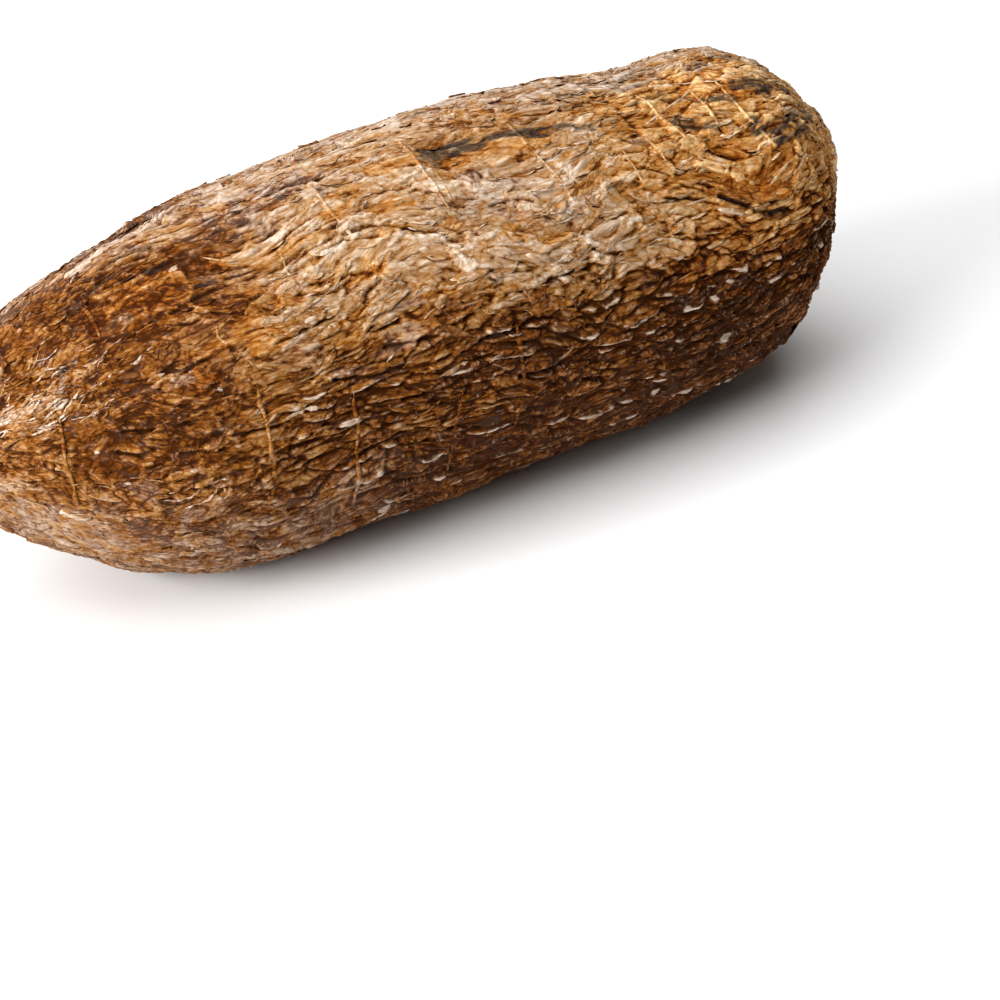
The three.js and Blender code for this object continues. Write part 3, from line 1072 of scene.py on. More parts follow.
    # dark stains, and painted shadow in the gaps under lifted plates, nearly black
    stain_and_gap_shadow = g.math("MULTIPLY", streak_and_gap_shadow_, g.lift(g.math("ADD", streaky, centred(own_.outputs[0], 0.25)), 0.30, 0.54))
    col = g.mix(
        g.math("MULTIPLY", stain_and_gap_shadow, 0.9),
        col,
        g.mix(g.lift(speck, 0.45, 0.75), (0.020, 0.015, 0.012, 1), (0.080, 0.062, 0.050, 1)),
    )
    # the cut wood, darker in its hollows as painted shade
    cut = g.mix(
        g.lift(g.math("ADD", fibre, centred(deep_, 0.5)), 0.3, 0.75),
        (0.52, 0.36, 0.20, 1),
        (0.22, 0.12, 0.055, 1),
    )
    col = g.mix(wood_, col, cut)
    g.link(col, p.inputs["Base Color"])

    rough = g.math("MULTIPLY_ADD", blotch, -0.25, 0.92)
    rough = g.math("ADD", rough, g.math("MULTIPLY", streak_and_gap_shadow_, -0.12))
    g.link(g.math("MULTIPLY_ADD", edge_, 0.06, rough, clamp=True), p.inputs["Roughness"])
    p.inputs["Specular IOR Level"].default_value = 0.04

    relief = g.math("ADD", g.math("MULTIPLY", fibre, 0.8), g.math("MULTIPLY", speck, 0.25))
    relief = g.math("ADD", relief, g.math("MULTIPLY", seam, 0.50))
    relief = g.math("ADD", relief, g.math("MULTIPLY", own_.outputs[1], 0.16))
    relief = g.math("ADD", relief, g.math("MULTIPLY", plate_own.outputs[1], 0.6))
    relief = g.math("ADD", relief, g.math("MULTIPLY", meet, -0.6))
    b = g.node("ShaderNodeBump")
    b.inputs["Strength"].default_value = 0.33
    b.inputs["Distance"].default_value = 0.0004
    g.link(relief, b.inputs["Height"])
    g.link(b.outputs[0], p.inputs["Normal"])
    return mat


BARK = bark_material()


# ---------------------------------------------------------------------------
# Meshes
# ---------------------------------------------------------------------------
def make_mesh(name, verts, faces, normals=None, uvs=None, masks=None, place=None):
    """verts in mm; faces as index arrays of triangles or quads."""
    loops = np.concatenate([f.ravel() for f in faces]).astype(np.int32)
    counts = np.concatenate([np.full(len(f), f.shape[1]) for f in faces])
    starts = np.concatenate([[0], np.cumsum(counts)[:-1]]).astype(np.int32)
    me = bpy.data.meshes.new(name)
    me.vertices.add(len(verts))
    me.vertices.foreach_set("co", (verts * 0.001).astype(np.float32).ravel())
    me.loops.add(len(loops))
    me.loops.foreach_set("vertex_index", loops)
    me.polygons.add(len(starts))
    me.polygons.foreach_set("loop_start", starts)
    me.update(calc_edges=True)
    me.shade_smooth()
    if uvs is not None:
        lay = me.uv_layers.new(name="OFBake", do_init=False)
        lay.uv.foreach_set("vector", uvs.astype(np.float32).ravel())
    for key, val in (masks or {}).items():
        a = me.attributes.new(key, "FLOAT_COLOR", "POINT")
        a.data.foreach_set("color", np.ascontiguousarray(val, np.float32).ravel())
    a = me.attributes.new("bark_place", "FLOAT_VECTOR", "POINT")
    a.data.foreach_set("vector", np.ascontiguousarray(place, np.float32).ravel())
    if normals is not None:
        me.normals_split_custom_set(normals.astype(np.float32))
    ob = bpy.data.objects.new(name, me)
    bpy.context.scene.collection.objects.link(ob)
    me.materials.append(BARK)
    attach(ob, "root")
    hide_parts("cassava_root")
    return ob


W1 = NW // STRIPS
AXIS = PTS.mean(1)  # a line inside, where the walls between strips meet
AXIS[:, 0] = np.clip(AXIS[:, 0], TAIL[0] + 9.0, STEM[0] - 9.0)
for k in range(STRIPS):
    cols = (np.arange(W1 + 1) + k * W1) % NW

    def part(a):
        return a[:, cols].reshape(NS * (W1 + 1), -1)

    p, n = part(PTS), part(NORMALS)
    ma, mb = part(mask_a), part(mask_b)
    pl = PLACE[:, cols].reshape(-1, 3)
    a, b = np.meshgrid(np.arange(NS - 1), np.arange(W1), indexing="ij")
    v0 = a * (W1 + 1) + b
    quads = np.stack([v0, v0 + 1, v0 + W1 + 2, v0 + W1 + 1], -1).reshape(-1, 4)
    tail, stem, ax = len(p), len(p) + 1, len(p) + 2
    uu, vv = np.meshgrid(
        np.linspace(0.01, 0.99, NS), np.linspace(0.03, 0.97, W1 + 1), indexing="ij"
    )
    uv = np.stack([uu, vv], -1).reshape(-1, 2)
    i = np.arange(W1)
    last = (NS - 1) * (W1 + 1)
    r = np.arange(NS - 1)
    near, far = r * (W1 + 1), r * (W1 + 1) + W1
    step = W1 + 1
    fans = [
        np.stack([i + 1, i, np.full(W1, tail)], -1),
        np.stack([last + i, last + i + 1, np.full(W1, stem)], -1),
    ]
    walls = [
        np.stack([near, near + step, ax + r + 1, ax + r], -1),
        np.stack([far + step, far, ax + r, ax + r + 1], -1),
    ]
    ends = [
        np.array([[tail, 0, ax]]),
        np.array([[tail, ax, W1]]),
        np.array([[stem, ax + NS - 1, last]]),
        np.array([[stem, last + W1, ax + NS - 1]]),
    ]
    faces = [quads, *fans, *walls, *ends]
    allv = np.concatenate([p, TAIL[None], STEM[None], AXIS])
    # texture places, corner by corner, so that no two faces share any
    tip = [np.stack([(0.004, 0.5)] * W1), np.stack([(0.996, 0.5)] * W1)]
    corner_uv = [uv[quads].reshape(-1, 2)]
    for f, end in zip(fans, tip):
        corner_uv.append(np.stack([uv[f[:, 0]], uv[f[:, 1]], end], 1).reshape(-1, 2))
    ua, ub = 0.01 + 0.98 * r / (NS - 1), 0.01 + 0.98 * (r + 1) / (NS - 1)
    for lo, hi, flip in ((0.014, 0.004, False), (0.986, 0.996, True)):
        c = [(ua, lo), (ub, lo), (ub, hi), (ua, hi)]
        if flip:
            c = [(ub, lo), (ua, lo), (ua, hi), (ub, hi)]
        corner_uv.append(
            np.stack([np.stack([x, y + 0 * x], -1) for x, y in c], 1).reshape(-1, 2)
        )
    for x, y in ((0.002, 0.018), (0.002, 0.982), (0.998, 0.018), (0.998, 0.982)):
        d = 0.001
        corner_uv.append(np.array([[x - d, y - d], [x + d, y - d], [x, y + d]]))
    # shading: the whole skin's normals outside, each wall's own inside
    skin_n = np.concatenate([n, [[-1, 0, 0]], [[1, 0, 0]]])
    corner_n = [skin_n[f].reshape(-1, 3) for f in (quads, *fans)]
    for f in (*walls, *ends):
        w = np.cross(allv[f[:, 1]] - allv[f[:, 0]], allv[f[:, 2]] - allv[f[:, 0]])
        w /= np.linalg.norm(w, axis=1, keepdims=True) + 1e-12
        corner_n.append(np.repeat(w, f.shape[1], 0))
    make_mesh(
        f"bark_strip_{k + 1}",
        allv,
        faces,
        np.concatenate(corner_n),
        np.concatenate(corner_uv),
        {
            "bark_a": np.concatenate([ma, ma[:1], ma[-1:], ma[::step]]),
            "bark_b": np.concatenate([mb, mb[:1], mb[-1:], mb[::step]]),
        },
        np.concatenate([pl, pl[:1], pl[-1:], pl[::step]]),
    )


def sample(field, s, th):
    """A field of the grid at any place, in between its points."""
    fi = np.clip((s - s_row[0]) / DS, 0, NS - 1.001)
    i = fi.astype(int)
    fi = fi - i
    fj = (th / (2 * math.pi)) % 1.0 * NW
    j = np.floor(fj).astype(int)
    fj = fj - j
    j0, j1 = j % NW, (j + 1) % NW
    if field.ndim == 3:
        fi, fj = fi[..., None], fj[..., None]
    return (
        field[i, j0] * (1 - fi) * (1 - fj)
        + field[i, j1] * (1 - fi) * fj
        + field[i + 1, j0] * fi * (1 - fj)
        + field[i + 1, j1] * fi * fj
    )


# ---------------------------------------------------------------------------
# Loose chips of bark: thin curled pieces, held along one edge
# ---------------------------------------------------------------------------
rng = np.random.default_rng(7)


def chips_mesh(name, s, deg, long, wide, turn_, lift_, curl_, side, tone_, pale, seed, NL=8, NC=4, rough=1.0):
    """NL and NC: points along and across a chip."""
    n = len(s)
    ra = np.random.default_rng(seed)
    a = np.linspace(-1, 1, NL)[None, :, None]
    c = np.linspace(-1, 1, NC)[None, None, :]
    nA, nB = ra.normal(size=(2, n, NL + 2, 1))
    nA, nB = (rough * 0.75 * (q[:, :-2] + q[:, 1:-1] + q[:, 2:]) / 1.73 for q in (nA, nB))
    v = lambda q: q[:, None, None]
    out = np.sqrt(np.clip(1 - (0.96 * a) ** 2, 0, 1)) ** 0.8
    half = v(wide) * 0.5 * out * (1 + 0.22 * nA)
    ragged = 0.10 * v(wide) * nB
    lw = c * half + ragged
    ls = a * v(long) * 0.5 + 0.05 * v(long) * ra.normal(size=(n, 1, NC)) * np.abs(a)
    ct, st = np.cos(v(turn_)), np.sin(v(turn_))
    ss = ls * ct - lw * st
    ww = ls * st + lw * ct
    S_ = v(s) + ss
    rad = np.maximum(np.interp(np.clip(S_, 0, SKIN_LENGTH), s_row, r_row), 4.0)
    TH_ = np.radians(v(deg)) + ww / rad
    S_ = np.clip(S_, 1.0, SKIN_LENGTH - 1.0)
    q = sample(base, S_, TH_)
    nn = sample(nrm, S_, TH_)
    free = (1 + c * v(side)) / 2  # 0 at the held edge, 1 at the free one
    end = np.clip(np.abs(a) * 1.15 - 0.15, 0, 1)
    h = (
        sample(SMOOTH_H, S_, TH_)
        + 0.05
        + v(lift_) * free**1.3 * (0.65 + 0.35 * end)
        - 0.45 * (1 - free) ** 2
        + v(curl_) * free**4
        + 0.10 * ra.normal(size=(n, NL, 1)) * free
    )
    top = q + nn * h[..., None]
    thick = v(np.clip(0.10 + 0.05 * ra.random(n), 0.1, 0.2)) * (1 + 0 * h)
    low = q + nn * (h - thick)[..., None]
    top[..., 2] = np.maximum(top[..., 2], 0.05)
    low[..., 2] = np.maximum(low[..., 2], 0.03)
    m = NL * NC
    verts = np.concatenate([top.reshape(n, m, 3), low.reshape(n, m, 3)], 1)
    i, j = np.meshgrid(np.arange(NL - 1), np.arange(NC - 1), indexing="ij")
    v0 = (i * NC + j).ravel()
    up = np.stack([v0, v0 + NC, v0 + NC + 1, v0 + 1], -1)
    down = np.stack([v0, v0 + 1, v0 + NC + 1, v0 + NC], -1) + m
    rimv = np.concatenate(
        [
            np.arange(NC),
            np.arange(2, NL) * NC + 0 - 1,
            NL * NC - 1 - np.arange(NC),
            (np.arange(NL - 2, 0, -1)) * NC,
        ]
    )
    nxt = np.roll(rimv, -1)
    side_f = np.stack([rimv, nxt, nxt + m, rimv + m], -1)
    one = np.concatenate([up, down, side_f])
    faces = (one[None] + (np.arange(n) * 2 * m)[:, None, None]).reshape(-1, 4)
    # which way round: the top must face out
    f = verts[0][up[len(up) // 2]]
    if np.dot(np.cross(f[1] - f[0], f[2] - f[1]), nn[0, NL // 2, NC // 2]) < 0:
        faces = faces[:, ::-1]
    rimmed = np.clip(np.maximum(np.abs(a) ** 6, np.abs(c) ** 3 + 0 * a), 0, 1)
    e = rimmed * (0.35 + 0.65 * free) * v(pale)
    t = np.clip(v(tone_) + 0.05 * ra.normal(size=(n, NL, NC)), 0, 1)
    # second channel: painted shade, darker toward the held edge and over the whole underside
    A = np.stack([e, 0.25 * (1 - free) * (1 + 0 * e), t, 0.5 + 0 * e], -1)
    Alow = np.stack([0.2 * e, 0.45 + 0 * e, t, 0.5 + 0 * e], -1)
    pl = sample(PLACE, S_, TH_) + 0.03 * ra.random((n, 1, 1, 3))
    mb_ = sample(mask_b, S_, TH_)
    mb_[..., 0] = 0.4 + (1.0 if NC > 8 else 0.5) * (mb_[..., 0] - 0.4)
    mb_[..., 2] = np.clip(np.maximum(mb_[..., 2], (v(pale) > 0.93) * rimmed * free), 0, 1)
    mb_[..., 3] = 0
    return make_mesh(
        name,
        verts.reshape(-1, 3),
        [faces],
        None,
        None,
        {
            "bark_a": np.concatenate([A.reshape(n, m, 4), Alow.reshape(n, m, 4)], 1).reshape(-1, 4),
            "bark_b": np.concatenate([mb_.reshape(n, m, 4)] * 2, 1).reshape(-1, 4),
        },
        np.concatenate([pl.reshape(n, m, 3)] * 2, 1).reshape(-1, 3),
    )


for name, count, mid, spread, NL_, NC_, seed in [
    ("bark_chips", 620, 5.4, 0.36, 8, 4, 17),
    ("bark_slivers", 900, 3.0, 0.30, 5, 3, 19),
]:
    cs = rng.uniform(8, SKIN_LENGTH - 10, count * 4)
    cd = rng.uniform(0, 360, count * 4)
    ok = rng.random(count * 4) < np.interp(cs, s_row, r_row) / 46
    ok &= ~((cd > 240) & (cd < 305) & (rng.random(len(cd)) < 0.85))
    loc_plain = sample(plain.astype(np.float32), cs, np.radians(cd))
    ok &= rng.random(len(cs)) > 0.75 * loc_plain
    ok &= rng.random(len(cs)) > 0.6 * sample(low.astype(np.float32), cs, np.radians(cd))
    ok &= rng.random(len(cs)) > 0.5 * sample(combed.astype(np.float32), cs, np.radians(cd))
    ok &= rng.random(len(cs)) > (0.3 if NL_ > 5 else 0.75) * sample(sides.astype(np.float32), cs, np.radians(cd))
    cs, cd = cs[ok][:count], cd[ok][:count]
    n = len(cs)
    long = rng.lognormal(math.log(mid), spread, n)
    wide = np.clip(long * rng.uniform(0.18, 0.40, n), 0.65, 3.2)
    local_tone = sample(np.clip(tone, 0, 1).astype(np.float32), cs, np.radians(cd))
    steep = rng.random(n) < 0.14
    chips_mesh(
        name,
        cs,
        cd,
        long,
        wide,
        np.radians(sample(LEAN.astype(np.float32), cs, np.radians(cd))) + rng.normal(0, 0.24, n),
        np.where(steep, rng.uniform(0.40, 0.75, n), rng.uniform(0.08, 0.38, n)) * np.where(np.abs(cd - 55) < 28, 0.55, 1),
        rng.uniform(0.0, 0.22, n),
        np.where(rng.random(n) < 0.6, 1, -1),
        local_tone + rng.normal(0.04, 0.12, n),
        np.where(rng.random(n) < 0.012, 1.0, rng.uniform(0.1, 0.75, n)),
        seed,
        NL=NL_,
        NC=NC_,
    )

# Tufts that break the outline along the top and down the back
n = 90
chips_mesh(
    "bark_tufts",
    rng.uniform(72, 262, n),
    rng.uniform(30, 78, n),
    rng.uniform(2.4, 5.0, n),
    rng.uniform(0.8, 1.8, n),
    rng.normal(0, 0.4, n),
    rng.uniform(0.20, 0.60, n),
    rng.uniform(0.0, 0.3, n),
    np.where(rng.random(n) < 0.5, 1, -1),
    rng.uniform(0.30, 0.70, n),
    rng.uniform(0.2, 0.8, n),
    29,
    NL=5,
    NC=3,
)

# Splinters: straight and thin, along the grain
n = 110
ss = np.concatenate([[217, 147.3, 203], rng.uniform(175, 262, 70), rng.uniform(30, 175, n - 73)])
sd = np.concatenate([[124.8, 118, 109], rng.uniform(0, 232, 70), rng.uniform(0, 360, n - 73)])
sl = np.concatenate([[12.5, 7.0, 21.0], rng.uniform(4.5, 13, n - 3)])
sw = np.concatenate([[1.0, 1.0, 0.9], rng.uniform(0.55, 1.05, n - 3)])
chips_mesh(
    "bark_splinters",
    ss,
    sd,
    sl,
    sw,
    np.concatenate([[-0.10, -0.16, -0.34], rng.normal(0, 0.16, n - 3)]),
    rng.uniform(0.10, 0.32, n),
    np.zeros(n),
    np.where(rng.random(n) < 0.6, 1, -1),
    sample(np.clip(tone, 0, 1).astype(np.float32), ss, np.radians(sd)) + rng.normal(0.06, 0.10, n),
    np.concatenate([[0.5, 0.9, 0.8], rng.uniform(0.1, 0.7, n - 3)]),
    23,
    rough=0.35,
)

# Plates that stand off along their lower edge: s, angle, length, width, turn,
# lift, curl, which side is free, tone, paleness of the rim
PLATES = [
    (214.5, 142.5, 21, 8.5, 0.36, 0.9, 1.0, 1, 0.50, 0.5),
    (90, 136.5, 14, 6.0, 0.02, 0.35, 0.3, 1, 0.55, 0.5),
    (114.5, 79, 3.6, 2.4, 0.5, 1.2, 0.4, -1, 0.50, 0.6),
    (133, 147.5, 9, 3.6, 0.08, 0.6, 0.6, -1, 0.58, 0.6),
    (150, 158, 12, 4.5, 0.05, 0.5, 0.5, 1, 0.36, 0.5),
    (120, 340, 16, 7.0, 0.1, 0.5, 0.6, 1, 0.5, 0.5),
    (190, 20, 17, 7.5, -0.1, 0.6, 0.7, -1, 0.5, 0.5),
    (80, 40, 14, 6.0, 0.1, 0.5, 0.4, 1, 0.45, 0.5),
]
P_ = np.array(PLATES, dtype=np.float64).T
chips_mesh("bark_plates", *P_, 31, NL=24, NC=10, rough=0.5)

# ---------------------------------------------------------------------------
# Growth rings across the grain, and loose pale threads
# ---------------------------------------------------------------------------
# places, radius, wander, tone added, whiteness
RINGS = [
    ([(34, 144), (33, 168), (35, 193)], 0.42, 1.1, 0.10, 0.0),
    ([(50, 93), (51.5, 104), (50, 116)], 0.40, 0.9, 0.12, 0.0),
    ([(76, 150), (77, 168), (76.5, 190)], 0.40, 0.9, 0.06, 0.0),
    ([(98, 163), (98.5, 184), (99, 205)], 0.40, 0.9, 0.06, 0.0),
    ([(111, 95.5), (110.3, 108), (111.4, 120)], 0.46, 0.5, 0.05, 0.0),
    ([(95, 114.5), (93.6, 122), (94.2, 129)], 0.29, 0.5, 0.0, 0.0),
    ([(138, 88.5), (136.5, 102), (135.4, 124.5)], 0.37, 0.4, 0.01, 0.0),
    ([(139.8, 98), (138.6, 108), (137.4, 120)], 0.29, 0.3, -0.01, 0.0),
    ([(141, 160), (141.5, 178), (141, 197)], 0.37, 0.7, 0.07, 0.0),
    ([(125, 172), (124, 190), (125, 214)], 0.33, 1.0, 0.01, 0.0),
    ([(163.5, 98), (163.1, 111), (164.7, 124.5), (165.2, 137)], 0.31, 0.6, 0.01, 0.0),
    ([(184, 119.5), (184.4, 127), (184.8, 134)], 0.28, 0.5, -0.03, 0.0),
    ([(192.3, 116), (193, 122), (193.8, 127.5)], 0.33, 0.4, 0.05, 0.0),
    ([(200.6, 97), (200.3, 111), (202.5, 124)], 0.37, 0.4, 0.07, 0.0),
    ([(213.9, 101), (213.4, 112), (213.2, 122.5)], 0.33, 0.4, 0.05, 0.0),
    ([(221.8, 98.5), (221.2, 112), (222.4, 126), (224.6, 135)], 0.37, 0.4, 0.05, 0.0),
    ([(60, 290), (61, 350)], 0.39, 2.0, 0.03, 0.0),
    ([(92, 20), (93, 75)], 0.39, 2.0, 0.03, 0.0),
    ([(118, 300), (117, 360)], 0.39, 2.0, 0.03, 0.0),
    ([(150, 10), (151, 62)], 0.39, 2.0, 0.03, 0.0),
    ([(171, 285), (173, 345)], 0.39, 2.0, 0.03, 0.0),
    ([(200, 20), (201, 80)], 0.39, 2.0, 0.03, 0.0),
    ([(226, 300), (227, 372)], 0.39, 2.0, 0.03, 0.0),
    ([(88, 230), (89, 262)], 0.37, 1.2, 0.0, 0.0),
    ([(182, 215), (181, 255)], 0.37, 1.5, 0.0, 0.0),
]
THREADS = [
    ([(31, 143), (34, 140.5), (37.5, 137)], 0.36, 0.2, 0.1, 1.0),
    ([(32, 139), (35.5, 135)], 0.28, 0.2, 0.1, 0.9),
    ([(27, 144), (30, 142)], 0.28, 0.2, 0.1, 0.9),
    ([(27, 151.5), (29.5, 149.8), (32, 148.8)], 0.30, 0.3, 0.1, 0.85),
    ([(25, 127), (27, 124)], 0.30, 0.2, 0.1, 0.9),
    ([(36, 123.5), (38, 122), (40, 123.5)], 0.28, 0.3, 0.1, 0.8),
    ([(33, 119), (37, 117), (40, 115.5)], 0.24, 0.3, 0.2, 0.5),
    ([(29, 131), (33, 129)], 0.24, 0.3, 0.1, 0.8),
    ([(38, 137.5), (41, 134.5)], 0.28, 0.2, 0.1, 0.9),
    ([(43.5, 131), (46, 129.5)], 0.24, 0.2, 0.1, 0.7),
    ([(41.5, 126.5), (44, 127.5)], 0.24, 0.2, 0.1, 0.6),
    ([(22, 134), (26, 131)], 0.30, 0.2, 0.1, 0.9),
    ([(20.5, 141), (25, 139)], 0.34, 0.3, 0.1, 0.9),
    ([(19.5, 147), (23, 146)], 0.28, 0.2, 0.1, 0.7),
    ([(24, 135), (30, 133.5)], 0.26, 0.4, 0.2, 0.6),
    ([(53, 130.8), (54.5, 131.5), (56, 129)], 0.34, 0.1, 0.1, 1.0),
    ([(57.5, 128.3), (59, 127.6)], 0.28, 0.1, 0.1, 0.8),
    ([(52.5, 184.5), (55, 183.5), (57.5, 183), (60, 180.5), (62, 178.5), (64, 176.5), (66.5, 176.5)], 0.26, 0.3, 0.1, 0.75),
    ([(57.5, 172.5), (59, 171.8), (60.5, 172)], 0.24, 0.2, 0.1, 0.6),
    ([(57, 187.5), (60, 186), (62, 184), (63.5, 181), (64.5, 178)], 0.26, 0.3, 0.1, 0.7),
    ([(64.5, 178), (66, 181), (66.3, 184), (64.5, 184.8), (62.5, 184)], 0.26, 0.2, 0.1, 0.7),
    ([(53.5, 181), (57, 179.5), (59.5, 178)], 0.22, 0.3, 0.1, 0.55),
    ([(52.5, 186), (56, 186.3)], 0.22, 0.2, 0.1, 0.5),
    ([(80, 163.4), (84, 162.6), (88, 162.6), (89.7, 163.5)], 0.42, 0.2, 0.2, 0.75),
    ([(107.5, 158.3), (109.3, 156.7)], 0.42, 0.1, 0.1, 0.95),
    ([(119.5, 168), (123, 167.3), (127.5, 166.8)], 0.55, 0.2, 0.25, 0.55),
    ([(132.5, 168.4), (135, 168.2), (137, 166.8)], 0.34, 0.2, 0.2, 0.6),
    ([(133, 173.2), (136.5, 173)], 0.34, 0.2, 0.2, 0.6),
    ([(151.5, 176), (154, 175.6), (156, 173.5)], 0.34, 0.2, 0.2, 0.65),
    ([(153, 181), (156, 179.5), (158, 178)], 0.25, 0.2, 0.2, 0.4),
    ([(112, 178.5), (116, 178), (120, 175.8)], 0.30, 0.3, 0.2, 0.45),
    ([(125.5, 184.6), (129, 184), (133, 184.5), (137, 184.2)], 0.28, 0.3, 0.25, 0.4),
    ([(119, 190.5), (121.5, 190.8)], 0.30, 0.1, 0.1, 0.8),
    ([(107.5, 224), (110, 221.5), (112.5, 218.5)], 0.50, 0.2, 0.1, 0.9),
    ([(53, 86.5), (55, 84.5), (57, 82.5)], 0.36, 0.2, 0.1, 0.8),
    ([(65, 98), (70, 96.5), (73, 96)], 0.24, 0.2, 0.3, 0.3),
    ([(147, 164), (150, 163), (152, 164)], 0.28, 0.3, 0.2, 0.5),
    ([(159, 152), (162, 149.5)], 0.26, 0.2, 0.1, 0.7),
    ([(118, 151), (121, 148.8), (125, 148.5)], 0.30, 0.2, 0.2, 0.5),
    ([(96, 143), (98, 141.5), (98.5, 144)], 0.28, 0.2, 0.2, 0.6),
    ([(171, 153), (174, 154)], 0.26, 0.2, 0.2, 0.5),
    ([(73.5, 129), (72.5, 133), (74.5, 136)], 0.28, 0.2, 0.2, 0.5),
    ([(75.5, 128), (79, 130)], 0.24, 0.2, 0.2, 0.5),
    ([(70, 36), (76, 33), (81, 35)], 0.30, 0.4, 0.2, 0.6),
    ([(140, 20), (147, 18)], 0.30, 0.3, 0.2, 0.6),
    ([(160, 335), (167, 337), (172, 334)], 0.30, 0.4, 0.2, 0.6),
    ([(215, 30), (221, 27)], 0.30, 0.3, 0.2, 0.7),
    ([(95, 345), (103, 344)], 0.28, 0.3, 0.2, 0.6),
]
THREADS = [(q[0], 0.78 * q[1], q[2] + 0.15, q[3], 0.62 * q[4]) for q in THREADS]
hair = np.random.default_rng(47)
for _ in range(84):
    s0, d0 = hair.uniform(17, 46), hair.uniform(112, 152)
    run, rise_ = hair.uniform(3.0, 9.0), -0.30 + 0.20 * hair.normal()
    if hair.random() < (s0 - 17) / 60:
        continue
    r = float(np.interp(s0, s_row, r_row))
    bow = 0.14 * run * hair.normal()
    THREADS.append(
        (
            [
                (s0, d0),
                (s0 + run / 2, d0 + math.degrees((run / 2 * rise_ + bow) / r)),
                (s0 + run, d0 + math.degrees(run * rise_ / r)),
            ],
            hair.uniform(0.12, 0.20),
            0.35,
            0.12,
            hair.uniform(0.15, 0.62),
        )
    )
SIDES = 6


def cords_mesh(name, items, pitch, seed):
    verts, quads, mas, mbs, pls, count = [], [], [], [], [], 0
    for k, (places, radius, sway_, lighter, bare) in enumerate(items):
        ra = np.random.default_rng(seed + k)
        ps = np.array([q[0] for q in places], float)
        pd = np.array([q[1] for q in places], float)
        rr = np.interp(ps, s_row, r_row)
        step = np.hypot(np.diff(ps), np.radians(np.diff(pd)) * (rr[1:] + rr[:-1]) / 2)
        at = np.concatenate([[0], np.cumsum(step)])
        m = max(6, int(at[-1] / pitch) + 1)
        u = np.linspace(0, at[-1], m)
        sc, dc = np.interp(u, at, ps), np.interp(u, at, pd)
        if len(ps) > 2:
            pad = np.ones(5) / 5
            sc = np.convolve(np.pad(sc, 2, "reflect", reflect_type="odd"), pad, "valid")
            dc = np.convolve(np.pad(dc, 2, "reflect", reflect_type="odd"), pad, "valid")
        rad_here = np.interp(sc, s_row, r_row)
        ts, tw = np.gradient(sc), np.radians(np.gradient(dc)) * rad_here
        size = np.hypot(ts, tw) + 1e-9
        ts, tw = ts / size, tw / size
        w = np.convolve(ra.normal(size=m + 16), np.hanning(17) / 8.0, "valid")[:m]
        quick_ = np.convolve(ra.normal(size=m + 4), np.hanning(5) / 2.5, "valid")[:m]
        off = sway_ * w + (0.16 + 0.06 * (pitch < 0.6)) * quick_ * (sway_ > 0.25)
        sc = sc - tw * off
        th = np.radians(dc) + ts * off / rad_here
        c0, nn = sample(base, sc, th), sample(nrm, sc, th)
        ww, es = sample(e_w, sc, th), sample(e_s, sc, th)
        flat = es * (-tw)[:, None] + ww * ts[:, None]
        hh = 0.55 * sample(height, sc, th) + 0.45 * sample(SMOOTH_H, sc, th)
        hh = np.convolve(np.pad(hh, 2, "edge"), np.ones(5) / 5, "valid")
        end = np.minimum(u, at[-1] - u)
        taper = np.clip(end / (2.2 * radius + 0.4), 0.25, 1)
        rad_ = radius * taper * np.clip(1 + (0.48 + 0.1 * (pitch < 0.6)) * quick_, 0.35, 1.9)
        sunk = radius * (0.25 + 0.9 * np.clip(w * 1.4, -1.4, 0.4))
        centre = c0 + nn * (hh + sunk)[:, None]
        ang = np.arange(SIDES) * 2 * math.pi / SIDES
        ring = (
            centre[:, None]
            + (
                nn[:, None] * np.sin(ang)[None, :, None] * 0.75
                + flat[:, None] * np.cos(ang)[None, :, None] * 1.15
            )
            * rad_[:, None, None]
        )
        ring[..., 2] = np.maximum(ring[..., 2], 0.03)
        verts.append(ring.reshape(-1, 3))
        i, j = np.meshgrid(np.arange(m - 1), np.arange(SIDES), indexing="ij")
        jn = (j + 1) % SIDES
        q = np.stack([i * SIDES + j, i * SIDES + jn, (i + 1) * SIDES + jn, (i + 1) * SIDES + j], -1)
        q = q.reshape(-1, 4)
        caps = np.array([[5, 4, 3, 2], [5, 2, 1, 0]])
        caps2 = (m - 1) * SIDES + np.array([[0, 1, 2, 3], [0, 3, 4, 5]])
        f = verts[-1][q[len(q) // 2]]
        mid = centre[(len(q) // 2) // SIDES]
        allq = np.concatenate([q, caps, caps2])
        if np.dot(np.cross(f[1] - f[0], f[2] - f[1]), f.mean(0) - mid) < 0:
            allq = allq[:, ::-1]
        quads.append(allq + count)
        count += m * SIDES
        t = sample(np.clip(tone, 0, 1).astype(np.float32), sc, th)
        # first channel: a little painted highlight along the cord, less at its ends
        A = np.stack([0.05 + 0.1 * taper, 0 * t, np.clip(t + lighter, 0, 1), 0.5 + 0 * t], -1)
        mas.append(np.repeat(A, SIDES, 0))
        B = sample(mask_b, sc, th)
        B[:, 2] = np.maximum(B[:, 2], bare)
        B[:, 3] = 0
        mbs.append(np.repeat(B, SIDES, 0))
        pls.append(np.repeat(sample(PLACE, sc, th), SIDES, 0))
    return make_mesh(
        name,
        np.concatenate(verts),
        [np.concatenate(quads)],
        None,
        None,
        {"bark_a": np.concatenate(mas), "bark_b": np.concatenate(mbs)},
        np.concatenate(pls),
    )


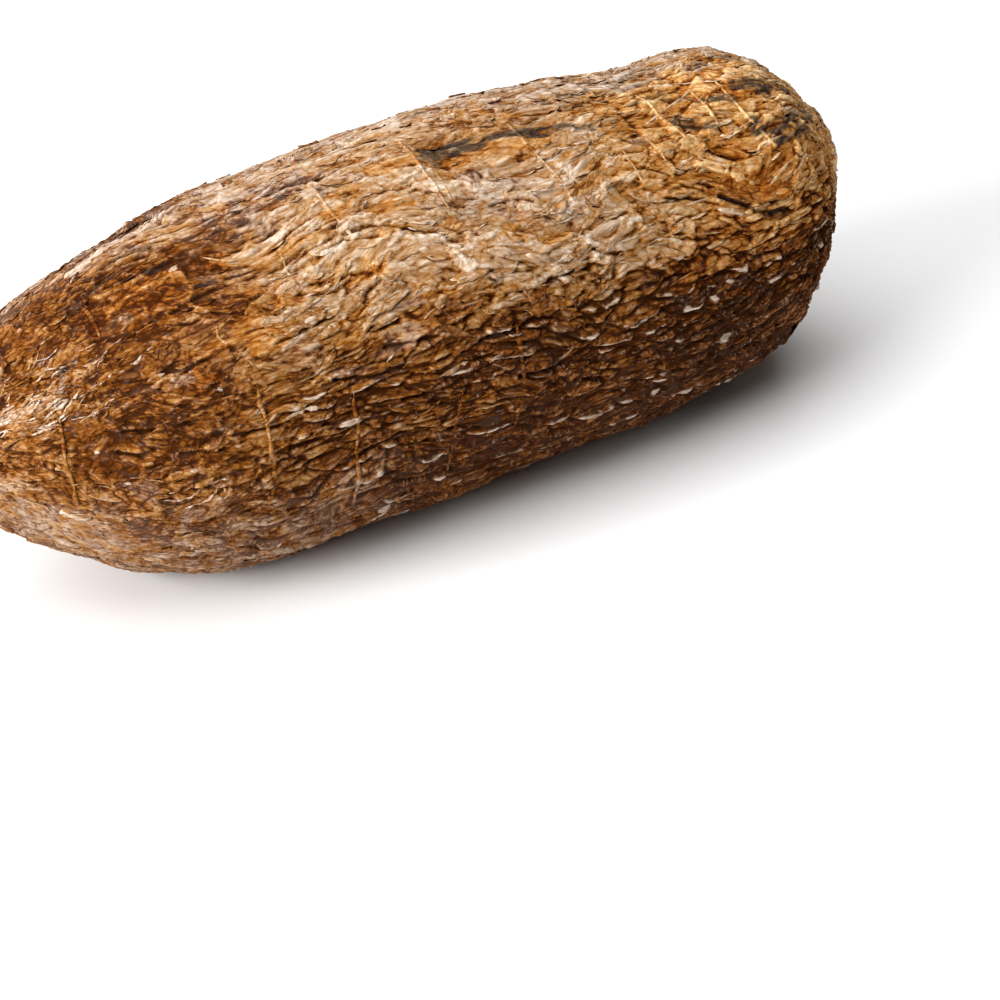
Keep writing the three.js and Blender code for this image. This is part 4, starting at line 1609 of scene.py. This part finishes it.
cords_mesh("growth_rings", RINGS, 0.75, 900)
cords_mesh("pale_threads", THREADS, 0.45, 1400)

# ---------------------------------------------------------------------------
# Floor, light and camera
# ---------------------------------------------------------------------------
fm = bpy.data.materials.new("studio_floor")
fm.use_nodes = True
fp = fm.node_tree.nodes["Principled BSDF"]
fp.inputs["Base Color"].default_value = (0.9, 0.9, 0.9, 1)
fp.inputs["Roughness"].default_value = 0.6
fp.inputs["Specular IOR Level"].default_value = 0.1
me = bpy.data.meshes.new("studio_floor")
me.from_pydata([(-6, -6, 0), (6, -6, 0), (6, 6, 0), (-6, 6, 0)], [], [(0, 1, 2, 3)])
floor = bpy.data.objects.new("studio_floor", me)
bpy.context.scene.collection.objects.link(floor)
me.materials.append(fm)

scene = bpy.context.scene
world = bpy.data.worlds.new("studio")
scene.world = world
world.use_nodes = True
world.node_tree.nodes["Background"].inputs[0].default_value = (1, 1, 1, 1)
world.node_tree.nodes["Background"].inputs[1].default_value = 0.06
scene.view_settings.view_transform = "Standard"

VIEW = Vector((0.50117, 0.68981, -0.52250)).normalized()
TARGET = Vector((0.012604, -0.025081, -0.001))


def area(name, at, size, watts, colour=(1, 1, 1)):
    light = bpy.data.lights.new(name, "AREA")
    light.shape = "RECTANGLE"
    light.size, light.size_y = size
    light.energy = watts
    light.color = colour
    ob = bpy.data.objects.new(name, light)
    ob.location = at
    ob.rotation_mode = "QUATERNION"
    ob.rotation_quaternion = (Vector((0, 0, 0.04)) - Vector(at)).to_track_quat("-Z", "Y")
    scene.collection.objects.link(ob)
    return ob


area("overhead", (-0.35, 0.2, 1.5), (2.4, 2.4), 45)
area("key", (-1.5, -0.2, 0.7), (1.0, 0.7), 43)

cam = bpy.data.cameras.new("camera")
cam.sensor_width = 36
cam.lens = 3966.56 * 36 / 1000
cam.clip_start, cam.clip_end = 0.05, 20
camera = bpy.data.objects.new("camera", cam)
camera.location = TARGET - VIEW * 0.92
camera.rotation_mode = "QUATERNION"
camera.rotation_quaternion = VIEW.to_track_quat("-Z", "Y")
scene.collection.objects.link(camera)
scene.camera = camera
